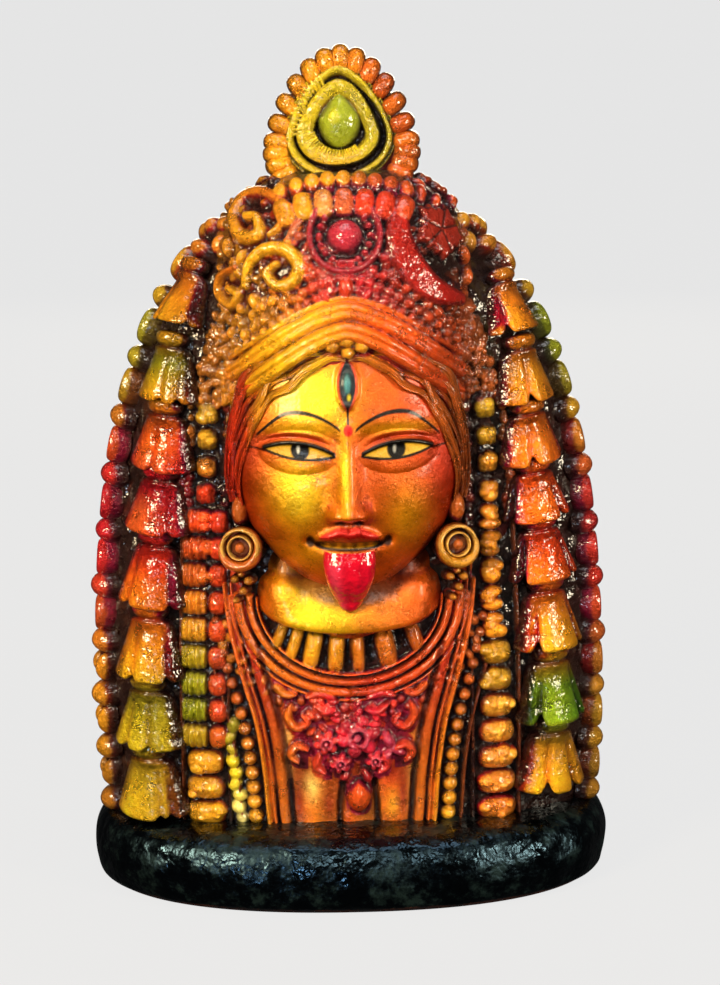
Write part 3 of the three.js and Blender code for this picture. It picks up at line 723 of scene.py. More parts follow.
# The scrolls over it: places, half width, height and the colours of both ends
SCROLLS = [
    (
        [(-12, 162.8), (-17, 165), (-21.6, 163.6), (-24, 160), (-22.4, 156.6), (-18.6, 157.2),
         (-18.9, 160.4), (-21, 160.4)],
        1.7, 3, "#DC7414", "#E8A81A",
    ),
    (
        [(-21.5, 146.2), (-20.6, 151), (-17.4, 154.2), (-13, 154.4), (-10.2, 151.4), (-11.4, 147.8),
         (-15, 146.8), (-16.9, 149.4), (-15, 151.2)],
        1.5, 3, "#E8A81A", "#E8A81A",
    ),
    (
        [(-23.6, 150), (-27, 147.6), (-27.6, 143.6), (-25, 141.6), (-23.4, 144), (-25, 145.2)],
        1.2, 2.4, "#DC7414", "#E8A81A",
    ),
    ([(-13.6, 159.6), (-10.6, 162.6), (-7.4, 165)], 1.1, 2.4, "#D88A3A", "#D8642A"),
    ([(-12.4, 156.6), (-10.2, 159.8), (-7.2, 162.4)], 1, 2.2, "#D87A40", "#C8483A"),
    ([(-16.4, 157.2), (-14.4, 158.8), (-12.8, 161)], 1, 2.2, "#E8A81A", "#DC7414"),
]

# A bell flower from its cap to the inside of its mouth: share, fall and reach
BELL_PROFILE = [
    (0, 0, 0.2), (0.05, 0.02, 0.42), (0.11, 0.1, 0.5), (0.17, 0.18, 0.46), (0.22, 0.23, 0.36),
    (0.28, 0.26, 0.5), (0.4, 0.38, 0.66), (0.6, 0.64, 0.83), (0.76, 0.87, 0.97), (0.84, 0.97, 1.03),
    (0.9, 1, 0.95), (1, 0.92, 0.6),
]
# Heights of the rims down each garland, of which the first is that of the lumps over the flowers,
# and the turns of the creases in each flower
LEFT_RIMS = [149, 134, 119, 103.5, 88.5, 71, 53.5, 37, 19.7]
RIGHT_RIMS = [146, 132, 117.5, 103.5, 90, 75.5, 59, 41.5, 24.5]
LEFT_CREASES = [
    (-0.4, 0.9), (0.1, 0.7), (-0.1,), (0.5,), (-0.6, 0.75), (-0.3, 0.75), (-0.5, 0.2), (0.45, 0.75),
]
RIGHT_CREASES = [
    (-0.75, 1.1), (-0.15, 1.2), (-0.2, 1.1), (0.65, -1.1), (-0.9, 0.8), (-0.6, 0.9), (-0.6, 0.8),
    (-0.35, 0.5),
]
# Lumps over the topmost flower: foot, shift outward, width, height and thickness
SHOULDER_LUMPS = [
    (148.6, 0.6, 8.6, 4.4, 4.6), (150, -4.2, 5.2, 5, 3.2), (152.6, 3, 6, 4.6, 4),
    (153.6, -1.6, 6.4, 4.6, 4.2), (157, 1.4, 5.6, 4.2, 3.6), (157.6, -3.2, 4.8, 4.4, 3),
    (160.6, -0.6, 4.8, 3.8, 3),
]
# The way of the strings, as places out from the middle by height
STRING_LINE = [(16, 34.2), (60, 33.8), (92, 32.6), (120, 31.2)]
# Turns of the flowers and of the chain from the front, by share of the bust's height
BELL_ANGLES = [(0, 51), (0.3, 48.5), (0.55, 47), (0.75, 55), (0.92, 73)]
CHAIN_ANGLES = [(0, 79), (0.5, 76), (0.8, 84), (0.92, 92)]


def hung(side, angles, top, long):
    """The ground under one item of a garland, with its top at a height on the bust."""
    middle = top - long / 2
    places = []
    for z in (top, top - long):
        angle = side * float(follow(angles, (z - PLINTH_HEIGHT) / BUST_HEIGHT))
        places.append(BUST.on(angle, z))
    angle = side * float(follow(angles, (middle - PLINTH_HEIGHT) / BUST_HEIGHT))
    return Plane(places[0], places[0] - places[1], BUST.out(angle, middle))


def bell(relief, ground, long, mouth, creases, deep, stops, rng):
    """A flower hung mouth down under a round cap, its petals parted by creases."""
    p = np.linspace(0, 1, 36)[:, None]
    turn = np.radians(np.linspace(-50, 230, 72))[None, :]
    front = turn - math.pi / 2
    fall, reach = follow(BELL_PROFILE, p, 1), follow(BELL_PROFILE, p, 2)
    body = ease(0.2, 0.5, fall)
    gap = sum(hill(front + crease, 0.12) for crease in (*creases, -1.7, 1.7))
    swell = 0.5 + 0.5 * np.cos(front * 2.2 + rng.uniform(-0.5, 0.5))
    reach = reach * (1 - deep * body * gap * ease(0.1, 0.9, fall) - 0.06 * body * (1 - swell))
    fall = fall - 0.6 * deep * ease(0.6, 1, fall) * gap + 0.05 * ease(0.7, 1, fall) * np.cos(front)
    across = mouth * reach * np.cos(turn)
    depth = 0.74 * mouth * reach * np.sin(turn) + 2 * (1 - ease(0.2, 0.4, fall))
    points = ground.place(across, -long * fall, depth)

    # Light down one petal; shade on the sides, in the creases, under the cap and in the mouth
    colour = ramp(stops, points[..., 2])
    lit = hill(front - rng.uniform(0.1, 0.6), 0.6) * ease(0.35, 0.8, fall) * (1 - ease(0.93, 1, p))
    colour = tint(colour * 0.88, colour * 1.5 + linear("#7E6408"), lit)
    shade = ease(0.55, 1.4, np.abs(front)) * 0.65 + gap * body * 0.5 + hill(p - 0.23, 0.05)
    shade = np.clip(shade + 0.5 * (1 - ease(0.24, 0.55, fall)) * ease(0.2, 0.26, fall), 0, 1)
    colour = tint(colour, colour**1.4 * 0.35 * np.array([1.2, 0.7, 0.5]), shade)
    colour = tint(colour, linear("#1A0502"), ease(0.89, 0.95, p) + 0 * turn)
    relief.sheet(points, colour, 0.85)


def bead(relief, ground, x, z, wide, long, high, stops, rng, **options):
    """A raised bead, each a little different in size, turn and colour."""
    colour = ramp(stops, ground.place(x, z, 0)[2]) * rng.uniform(0.85, 1.2)
    size = rng.uniform(0.94, 1.06)
    knob(relief, ground, x, z, wide * size, long * size, high * size, colour,
         turn=rng.uniform(-6, 6), **options)


def garland(side):
    """The bell flowers with the lumps over them, the outer chain and the inner strings."""
    rng = np.random.default_rng(11 + side)
    wide = bpy.context.scene.idol_sizes.bell_mouth / MM
    relief = Relief()
    stops = LEFT_BELLS if side < 0 else RIGHT_BELLS
    rims, creases = (LEFT_RIMS, LEFT_CREASES) if side < 0 else (RIGHT_RIMS, RIGHT_CREASES)
    deep = 0.11 if side < 0 else 0.24
    for above, rim, folds in zip(rims, rims[1:], creases):
        long = (above - rim) * 1.04
        mouth = wide / 2 * mix(1.04, 0.8, (rim - PLINTH_HEIGHT) / BUST_HEIGHT)
        ground = hung(side, BELL_ANGLES, rim + long, long)
        bell(relief, ground, long, mouth, folds, deep, stops, rng)
    for z, shift, breadth, tall, rise in SHOULDER_LUMPS:
        ground = hung(side, BELL_ANGLES, z + tall, tall)
        bead(relief, ground, side * shift, -tall / 2, breadth, tall * 1.25, rise, stops, rng,
             rings=9, sides=24)
    chain(relief, side, rng)
    relief.build("garland_left" if side < 0 else "garland_right", brushed_lacquer())
    strings(side)


def chain(relief, side, rng):
    """The outer chain: beads by turns with bows, or with pairs of leaves low on the left."""
    stops = LEFT_CHAIN if side < 0 else RIGHT_CHAIN
    z = PLINTH_HEIGHT - 1
    number = 0
    while z < PLINTH_HEIGHT + BUST_HEIGHT * 0.9:
        long = 7.8 if number % 2 else 5.6
        ground = hung(side, CHAIN_ANGLES, z + long, long)
        colour = ramp(stops, z + long / 2) * rng.uniform(0.85, 1.2)
        if number % 2 == 0:
            bead(relief, ground, -side * rng.uniform(0.2, 1), -long / 2, 8.4, long * 1.2, 4.2, stops, rng,
                 sides=22)
        elif side < 0 and z < 62:
            knob(relief, ground, 0.8, -long / 2, 4.8, long * 1.1, 3.6, colour, turn=-14, rings=9, sides=20)
            knob(relief, ground, -3.4, -long / 2, 3.4, long * 0.8, 2.6, colour * 0.7, turn=10, sides=16)
        else:
            bow = arc((side * 1.2, -long / 2), (3, long * 0.46), 90 - side * 20, 90 + side * 200, 30)
            s = np.linspace(0, 1, 30)
            swell = np.sin(math.pi * np.clip(s * 0.9 + 0.05, 0, 1)) ** 0.6
            ribbon(relief, ground, bow, 1.9 * swell, 4.2 * swell, colour, columns=13)
        z += long
        number += 1


def strings(side):
    """The strings of beads between the flowers and the dress, with thin ridges beside them and
    small lumps over them up to the shoulder."""
    rng = np.random.default_rng(21 + side)
    dark = linear(HOLLOW)
    across = np.linspace(-1, 1, 84)[None, :]
    height = np.linspace(PLINTH_HEIGHT - 2, 152, 440)[:, None]
    carving = Carving(BUST, side * (33 + 10 * across), height, lambda x, z: dark + 0 * x[..., None])
    away = np.abs(across)
    carving.high += -0.3 + 0.35 * wobble(carving.skin, 1.5, 4) - 1.4 * ease(0.9, 1, away)
    carving.gild[:] = 0.65
    for shift in (-5.6, 5.4):
        z = np.linspace(PLINTH_HEIGHT - 1, 90, 200)
        x = follow(STRING_LINE, z) + shift
        carving.stroke(np.stack([side * x, z], -1), 0.55, 1.5, linear("#7A3412") * 0.8)
    string_beads(carving, side, rng)
    for _ in range(420):
        z = rng.uniform(88, 150)
        x = float(BUST.on(rng.uniform(25, 41), z)[0])
        size, high = rng.uniform(1.4, 3), rng.uniform(0.8, 1.7)
        if z > 118 or abs(x - float(follow(STRING_LINE, np.array(z)))) > 4:
            colour = ramp(LEFT_BELLS if side < 0 else RIGHT_BELLS, z) * rng.uniform(0.25, 0.7)
            by_crown = float(ease(104, 116, z) * ease(42, 36, abs(x)))
            colour = mix(colour, ramp(CROWN_WASH, side * x) * rng.uniform(0.6, 1.3), by_crown)
            carving.boss(side * x, z, size, size * rng.uniform(0.8, 1.6), high, colour,
                         turn=rng.uniform(0, 180), gild=0.6)
    carving.build("strings_left" if side < 0 else "strings_right")


def string_beads(carving, side, rng):
    """Fluted and smooth beads in pairs on the left, pairs of small ones high on the right and
    broad ones at the foot, with lumps on them painted lighter than the bead as painted
    highlights, and single fluted ones at the top."""
    pitch = bpy.context.scene.idol_sizes.bead_pitch / MM
    outer_wash = LEFT_OUTER_STRING if side < 0 else RIGHT_STRING
    inner_wash = LEFT_INNER_STRING if side < 0 else RIGHT_STRING
    for i in range(16):
        z = PLINTH_HEIGHT + 2.2 + i * pitch
        x = follow(STRING_LINE, np.array(z))
        outer, inner = (ramp(wash, z) * rng.uniform(0.85, 1.15) for wash in (outer_wash, inner_wash))
        if z > 93:
            carving.boss(side * x, z, 5, 4.9, 2.9, outer, outline=boxy, ribs=(3, 0.16))
            lumps, wide, high = 3, 3.2, 3.1
        elif side < 0 and z > 34:
            carving.boss(side * (x + 2.2), z, 6.8, 6.2, 3.3, outer, outline=boxy, ribs=(4, 0.3))
            carving.boss(side * (x - 3.1), z, 4.7, 6, 3.2, inner, outline=soft_box)
            lumps, wide, high = (3, 5, 3.4) if z > 75 else (0, 1, 1)
        elif side > 0 and z > 60:
            for rise in (-1.6, 1.6):
                shift = x + rng.uniform(-0.5, 0.5)
                carving.boss(side * shift, z + rise, rng.uniform(4.6, 6.2), 3.3, 3.1,
                             outer * rng.uniform(0.8, 1.2))
            lumps, wide, high = 4, 4.6, 3.4
        else:
            wide = mix(9.8, 7.6, ease(20, 60, z))
            carving.boss(side * x, z, wide, 6.2, 3.3, outer, outline=soft_box)
            lumps, high = 4, 3.7
        for _ in range(lumps):
            a, b = rng.uniform(-0.36, 0.36) * wide, rng.uniform(-1.6, 1.6)
            size = rng.uniform(2.6, 3.8)
            # Painted highlights: each lump is painted lighter than its bead
            carving.boss(side * (x + a), z + b, size * 1.15, size, high, outer * rng.uniform(1.1, 1.8))


def ground_skins():
    """The dark ground of bust and crown, with long waved hair down the back."""
    relief = Relief()
    strand = bpy.context.scene.idol_sizes.strand / MM
    bust_ground(relief, strand)
    crown_ground(relief, strand)
    relief.build("ground_and_back_hair", brushed_lacquer())


def bust_ground(relief, strand):
    """The bust's skin: rough and specked in front, with fine strands behind."""
    z = np.linspace(PLINTH_HEIGHT - 4, PLINTH_HEIGHT + BUST_HEIGHT * 0.995, 130)[:, None]
    angle = np.linspace(-180, 180, 360, endpoint=False)[None, :]
    away = np.abs(angle)
    behind = ease(92, 104, away)
    run = (away - 90) / 90 * 52
    phase = run / strand + 0.5 * np.sin(z / 9.5 + run / 14)
    strands = np.abs(np.sin(math.pi * phase)) ** 0.7
    fine = 0.25 * np.sin(2 * math.pi * (phase * 3 + 0.3 * np.sin(z / 7)))
    lift = behind * (1.1 * strands + 0.3 * fine - 0.9)
    points = BUST.wrap(angle, z, lift - 0.4)
    grit = 0.25 * wobble(points, 7, 3) + (1 - behind) * 0.8 * wobble(points, 1.5, 9)
    points = points + BUST.out(angle, z) * grit[..., None]
    copper = tint(linear(GROUND_BLACK), linear("#9C4A18"), behind * ease(0.4, 1, strands) * 0.85)
    speck = ease(0.35, 0.8, wobble(points, 2.2, 17)) * (1 - behind)
    copper = tint(copper, ramp(GROUND_WASH, z + 0 * angle), speck * 0.55)
    relief.sheet(points[::-1], copper, 0.65, closed=True, tip=True)


def crown_ground(relief, strand):
    """The crown's skin: rough in front, and behind strands with bands over them."""
    z = np.linspace(CROWN_FOOT, CROWN_FOOT + CROWN_HEIGHT, 80)[:, None]
    angle = np.linspace(-180, 180, 240, endpoint=False)[None, :]
    away = np.abs(angle)
    behind = ease(80, 100, away)
    run = (away - 90) / 90 * 30
    strands = np.abs(np.sin(math.pi * (run / strand + 0.4 * np.sin(z / 8)))) ** 0.7
    bands = ease(0.2, 0.9, np.sin(z / 1.9)) * ease(136, 138, z)
    lift = behind * (0.8 * mix(strands, bands, ease(135, 138, z)) - 0.4) - 0.5
    points = CROWN.wrap(angle, z, lift)
    grit = 0.3 * wobble(points, 4, 5) + (1 - behind) * 0.5 * wobble(points, 1.5, 12)
    points = points + CROWN.out(angle, z) * grit[..., None]
    wash = tint(ramp(CROWN_WASH, points[..., 0]) * 0.6, linear("#8E4A14"), behind)
    wash = tint(wash, linear(GROUND_BLACK), 1 - ease(130, 137, z) + 0 * angle)
    relief.sheet(points[::-1], wash, 0.65, closed=True, tip=True)


def band_line(x):
    """The height of the band's middle at places across the crown."""
    return BAND_PEAK - BAND_FALL * np.clip(np.abs(x) / BAND_HALF, 0, 1) ** 1.6


def crown_panel():
    """The crown's front: scrolls on the left, a flower in the middle, a crescent and a leaf on
    the right, small foliage and beads between them, and the two ridges of the band."""
    rng = np.random.default_rng(5)
    angle = np.linspace(-100, 100, 290)[None, :]
    height = np.linspace(113, CROWN_FOOT + CROWN_HEIGHT - 0.3, 228)[:, None]
    carving = Carving(CROWN, angle, height, lambda x, z: ramp(CROWN_WASH, x) * 0.9)
    below = band_line(carving.x) - carving.z
    carving.high -= 3 * ease(2, 6, below)
    carving.paint = tint(carving.paint, linear("#2A1006"), ease(2, 5, below))
    crown_foliage(carving, rng)
    crown_scrolls(carving)
    crown_flower(carving)
    crown_crescent(carving)
    crown_petals(carving, rng)
    crown_band(carving)
    carving.build("crown_panel")


def crown_foliage(carving, rng):
    """Small foliage and granules all over, and three rows of beads along the band."""
    for x in np.arange(-28, 28.5, 2.5):
        for z in np.arange(120, 169, 2.6):
            a, b = x + rng.uniform(-0.9, 0.9), z + rng.uniform(-0.9, 0.9)
            size, long, high = rng.uniform(1.8, 2.9), rng.uniform(2, 4), rng.uniform(0.8, 1.6)
            turn, bright = rng.uniform(0, 180), rng.uniform(0.7, 1.5)
            if b > band_line(a) + 3:
                carving.boss(a, b, size, long, high, ramp(CROWN_WASH, a) * bright * 1.15, turn=turn)
    for row, (rise, size) in enumerate(((6.4, 2.3), (9.0, 2.9), (11.8, 2.7))):
        count = 30 - 3 * row
        for i in range(count):
            x = mix(-27.5, 27.5, (i + 0.5 * (row % 2)) / (count - 1))
            colour = ramp(CROWN_WASH, x) * rng.uniform(0.8, 1.4)
            wide, long = size * rng.uniform(0.85, 1.1), size * rng.uniform(0.9, 1.2)
            carving.boss(x, band_line(x) + rise, wide, long, 1.9, colour)


def crown_scrolls(carving):
    """The scrolls on the left and the leaves beside them."""
    for places, wide, high, start, end in SCROLLS:
        path = trace(places, 90)
        s = np.linspace(0, 1, 90)
        carving.stroke(path, 1.2 * wide * (0.6 + 0.4 * np.sin(math.pi * s)), 0.9 * high,
                       tint(linear(start), linear(end), s))
    for x, z, wide, long, turn in (
        (-8.6, 150.6, 2.6, 4.4, 20), (-7.4, 146.4, 2.4, 3.6, -30), (-25.6, 154, 3, 5, 20),
        (-22.6, 152.2, 2.6, 4.4, -20), (-20, 143, 2.8, 4.4, 30), (-16, 143.4, 2.6, 3.6, -20),
    ):
        carving.boss(x, z, wide, long, 2.1, ramp(CROWN_WASH, x) * 1.3, turn=turn)


def crown_flower(carving):
    """The flower in the middle: a boss, a ring of small petals, a beaded ring and drops."""
    crimson = linear("#9C1026")
    middle = 157.2
    carving.boss(0, middle, 8, 7.8, 4, linear("#B42238"), gild=0.35)
    carving.stroke(arc((0, middle), (7.7, 7.5), -90, 270, 120), 0.9, 2.3, crimson, gild=0.4)
    for i in range(18):
        turn = math.radians(20 * i)
        carving.boss(5.6 * math.cos(turn), middle + 5.5 * math.sin(turn), 1.9, 1.7, 2.4, crimson * 1.2,
                     turn=20 * i, gild=0.4)
        carving.boss(7.7 * math.cos(turn), middle + 7.5 * math.sin(turn), 1.7, 1.7, 2.8, crimson * 1.1,
                     gild=0.4)
    for i in range(9):
        turn = math.radians(150 + 240 * i / 8)
        x = 9.8 * math.cos(turn)
        colour = ramp([(-10, "#C85A3A"), (0, "#B81C2C"), (10, "#A81414")], x)
        carving.boss(x, middle + 9.4 * math.sin(turn), 2.4, 3.2, 2, colour,
                     turn=math.degrees(turn) + 90, gild=0.5)
    carving.boss(0, 146.6, 3.6, 6, 2.8, linear("#D03A1C"))
    for x, z, turn in ((-3.4, 147.6, 24), (3.4, 147.8, -24), (-4.6, 144.4, 40), (4.6, 144.8, -40)):
        carving.boss(x, z, 2.2, 4, 2.2, ramp(CROWN_WASH, x) * 1.3, turn=turn)


def leaf(turn):
    """The outline of a leaf with five lobes and a fine jagged edge."""
    return 0.8 + 0.2 * (1 - np.abs(np.sin(2.5 * turn + 1.2))) + 0.06 * np.cos(15 * turn)


def crown_crescent(carving):
    """The crescent, and the leaf above a dark hollow, with leaves round it."""
    hollow = hill(np.hypot((carving.x - 22.4) / 4.6, (carving.z - 150.6) / 3.4), 1)
    carving.high -= 1.4 * hollow
    carving.paint = tint(carving.paint, linear("#0C0504"), np.clip(hollow * 1.3, 0, 1))
    red = linear("#8E0E04")
    places = [(12.6, 163.4), (11.7, 159.6), (12, 155.4), (14, 150.8), (18.2, 145.6), (24.6, 142.2)]
    moon = trace(places, 90)
    breadth = follow([(0, 1.4), (0.15, 2.4), (0.45, 3.3), (0.75, 3), (1, 1.4)], np.linspace(0, 1, 90))
    carving.stroke(moon, breadth + 0.3, 2.2, red * 0.8, shape=flat, gild=0.6)
    carving.stroke(moon, breadth - 0.5, 2.6, red * 1.3, shape=flat, gild=0.6)
    x, z = 20.8, 157.2
    carving.boss(x, z, 12.6, 13, 2.2, linear("#98200A"), shape=flat, gild=0.55, outline=leaf)
    for turn in (5, 77, 149, 221, 293):
        way = np.array([math.cos(math.radians(turn)), math.sin(math.radians(turn))])
        carving.groove(np.array([x, z]) + np.linspace(0.4, 4.6, 24)[:, None] * way, 0.3, 0.35)
    for x, z, wide, long, turn in (
        (17, 165, 3, 5.4, -30), (20.4, 163, 2.8, 5, -50), (24, 162, 2.6, 4.6, -40),
        (26.4, 151.4, 2.8, 5, 10), (27, 146.6, 2.6, 4.6, -10),
    ):
        carving.boss(x, z, wide, long, 2.2, ramp(CROWN_WASH, x) * 1.5, turn=turn)


def crown_petals(carving, rng):
    """The petals that hang from the crest, and shorter ones on the shoulder over them."""
    for x, z, turn in (
        (-13, 161.6, 30), (-8.9, 163, 16), (-4.5, 163.6, 7), (0, 163.8, 0), (4.5, 163.6, -8),
        (8.9, 163, -17), (13, 161.8, -32),
    ):
        carving.boss(x, z, 4.5, 7.2, 3.2, ramp(PETAL_WASH, x), turn=turn, outline=soft_box,
                     shape=plump, gild=0.6)
    for i in range(9):
        x = 3.4 * (i - 4)
        colour = tint(linear("#E09A1A"), linear("#C24E18"), ease(-4, 8, np.array(x)))
        carving.boss(x, 168 - 0.014 * x * x, 3.7, 5.4, 3, colour * rng.uniform(0.9, 1.15), turn=-2 * x,
                     shape=plump, gild=0.6)


def crown_band(carving):
    """The band's ridges, each with a cleft along its middle."""
    s = np.linspace(-1, 1, 240)
    middle = np.stack([29.4 * s, band_line(BAND_HALF * s)], -1)
    slope = unit(np.gradient(middle, axis=0))
    normal = np.stack([-slope[:, 1], slope[:, 0]], -1)
    for shift, wide, high, bright in ((-2.6, 2.3, 3.2, 1), (1.7, 2.1, 2.9, 1.1), (4.4, 0.7, 1.9, 1.2)):
        path = middle + normal * shift
        carving.stroke(path, wide, high, ramp(BAND_WASH, path[:, 0]) * bright,
                       shape=lambda t: full(t) - 0.25 * hill(t, 0.22))


def crest_outline(turn, shrink=1):
    """The crest's drop shape, widest a third of the way up and softly pointed at the top."""
    up, side = np.sin(turn), np.cos(turn)
    upper = (1 - np.abs(side) ** 1.92) ** 0.667 * (CREST_HEIGHT - CREST_HEART)
    x = CREST_WIDTH / 2 * np.sign(side) * np.abs(side) ** np.where(up > 0, 1, 0.85)
    z = np.where(up > 0, upper, CREST_HEART * up)
    return np.stack([x * shrink, CREST_HEART + z * shrink], -1)


def drop_line(half, low, high, count=120):
    """A drop outline on the crest between two heights, drawn to a soft point at its top."""
    angle = np.linspace(-math.pi / 2, 1.5 * math.pi, count)
    up, side = np.sin(angle), np.cos(angle)
    middle = low + (high - low) * 0.38
    upper = (high - middle) * (1 - np.abs(side) ** 1.7) ** 0.75
    z = np.where(up > 0, middle + upper, middle + (middle - low) * up)
    return np.stack([half * side - 0.6, z], -1)


def crest():
    """The standing medallion: a green stone in two rings, and a border of petals."""
    relief = Relief()
    rng = np.random.default_rng(2)
    turn = np.linspace(0, 2 * math.pi, 320, endpoint=False)[None, :]
    edge = crest_outline(turn, np.linspace(0.01, 1, 100)[:, None])
    carving = Carving(CREST, edge[..., 0], edge[..., 1], lambda x, z: ramp(CREST_WASH, x))
    crest_stone(carving, rng)
    carving.sheet(relief, closed=True, tip=True)
    rim = np.stack([CREST.place(*crest_outline(turn[0], size).T, rise)
                    for size, rise in ((1, 0.9), (1.02, -0.6), (0.97, -8.2), (0.7, -11), (0.05, -11))])
    relief.sheet(rim[::-1], linear("#8A4A14"), 0.5, closed=True, tip=True)
    crest_border(relief, rng)
    relief.build("crest_medallion", brushed_lacquer())


def ring_paint(path, low):
    """Gold at the foot of a ring, yellow above it and olive on the right."""
    up, yellow = path[:, 1], linear(CREST_YELLOW)
    olive = ease(-12, 10, path[:, 0]) * 0.4 + ease(low, low + 8, up) * 0.2
    return tint(tint(linear("#D8A82A"), yellow, ease(low, low + 4, up)), linear("#7E7E10"), olive)


def crest_stone(carving, rng):
    """The rings with the groove between them, and the stone in a dark moat with rays over it."""
    outer, inner, gap = drop_line(11.6, 5.2, 29.6), drop_line(8.1, 8.8, 25.4), drop_line(10, 6.9, 27.6)
    middle = np.array([-0.6, 17])
    ring = np.hypot((carving.x - middle[0]) / 7.2, (carving.z - middle[1]) / 8)
    carving.paint = tint(carving.paint, linear("#0E0E04"), ease(1.05, 0.95, ring))
    carving.high += 0.9 - 2 * ease(1.05, 0.9, ring)
    carving.gild = carving.gild * ease(0.9, 1.1, ring)
    carving.stroke(outer, 1.6, 2.9, ring_paint(outer, 4))
    carving.groove(drop_line(12.4, 4.4, 30.6), 0.4, 1)
    carving.stroke(inner, 2.3, 3.3, ring_paint(inner, 8), shape=plump)
    below = ease(-6, 7, gap[:, 0] - 0.7 * (gap[:, 1] - 15))
    carving.groove(gap, mix(0.3, 1, below), 1.8, linear("#1C1A06"))

    # Rays from the upper left round to the lower right
    for i in range(60):
        angle = 2 * math.pi * i / 60
        if 1.9 < angle < 5.4:
            way = np.array([math.cos(angle), math.sin(angle) * (1.15 if angle < math.pi else 1)])
            start, end = (8.4, 10.8) if angle < 3.4 else (6, 8.4)
            span = np.linspace(start, end + rng.uniform(-0.5, 0.5), 24)[:, None]
            colour = tint(linear(CREST_YELLOW), linear("#8A8412"), rng.uniform(0, 0.7)) * 1.15
            carving.stroke(middle + span * way, 0.5, rng.uniform(3, 3.5), colour)

    # The stone in three steps, each lighter and set up to the left of the one before, as a
    # painted highlight on its upper left
    stone = 10.4
    for wide, long, high, code in (
        (stone, 13.4, 5, "#8E9A0C"), (6.4, 8.6, 5.1, "#B4B414"), (3, 4.4, 5.16, "#E0D83A"),
    ):
        inset = stone - wide
        carving.boss(-0.5 - inset * 0.2, 18 + inset * 0.1, wide, long, high, linear(code), gild=0.15,
                     outline=drop)


def crest_border(relief, rng):
    """Petals in a border, with a second row that leans on the rim."""
    petals = 27
    for i in range(petals):
        angle = 2 * math.pi * i / petals + math.pi / 2
        place, within = (crest_outline(np.array([angle]), shrink)[0] for shrink in (1.0, 0.9))
        lean = math.degrees(math.atan2(*(place - within)[::-1])) - 90
        share = float(ease(-6, 12, place[0])) * rng.uniform(0.75, 1)
        colour = tint(linear("#E09414"), linear("#BC4C14"), share) * rng.uniform(0.85, 1.15)
        spot = place * 0.95 + np.array([0, CREST_HEART * 0.05])
        knob(relief, CREST, *spot, 4.9, 6.8, 3.1, colour, turn=lean, rings=9, sides=22, gild=0.7,
             foot=0.6, outline=petal, shape=full)
        ridge = CREST.place(place[0], place[1], 0)
        radial = np.append(place - within, 0) @ np.stack([CREST.across, CREST.up, CREST.out])
        side = Plane(ridge - CREST.out * 1.8, CREST.out, radial)
        knob(relief, side, 0, 0, 4.2, 7, 1.9, colour, rings=7, sides=16, gild=0.7)


def petal(turn):
    """An oval outline with a small point at its top."""
    return 1 + 0.06 * np.maximum(0, np.sin(turn)) ** 4 - 0.05 * np.cos(4 * turn)


def upper_lip(x, z):
    """How far a place belongs to the upper lip, which has a bow in its middle."""
    side = np.abs(x)
    middle = -1.37 + 0.06 * hill(side - 0.22, 0.16) - 0.08 * (side / 0.7) ** 2
    half = 0.19 * np.clip(1 - 0.75 * (side / 0.85) ** 2, 0.2, 1)
    return np.exp(-((x / 0.7) ** 6) - ((z - middle) / half) ** 2)


def upper_lid(side):
    """The edge of the upper lid, in the face's sixths."""
    t = (side - 1.08) / 0.82
    return 0.52 + 0.22 * np.clip(1 - t * t, 0, 1) ** 0.9 + 0.06 * t


def lower_lid(side):
    """The edge of the lower lid, in the face's sixths."""
    t = (side - 1.08) / 0.82
    return 0.52 - 0.15 * np.clip(1 - t * t, 0, 1) + 0.06 * t


def oval(x, z, cx, cz, rx, rz):
    """A soft oval spot, 1 at its middle."""
    return np.exp(-(((x - cx) / rx) ** 2) - ((z - cz) / rz) ** 2)


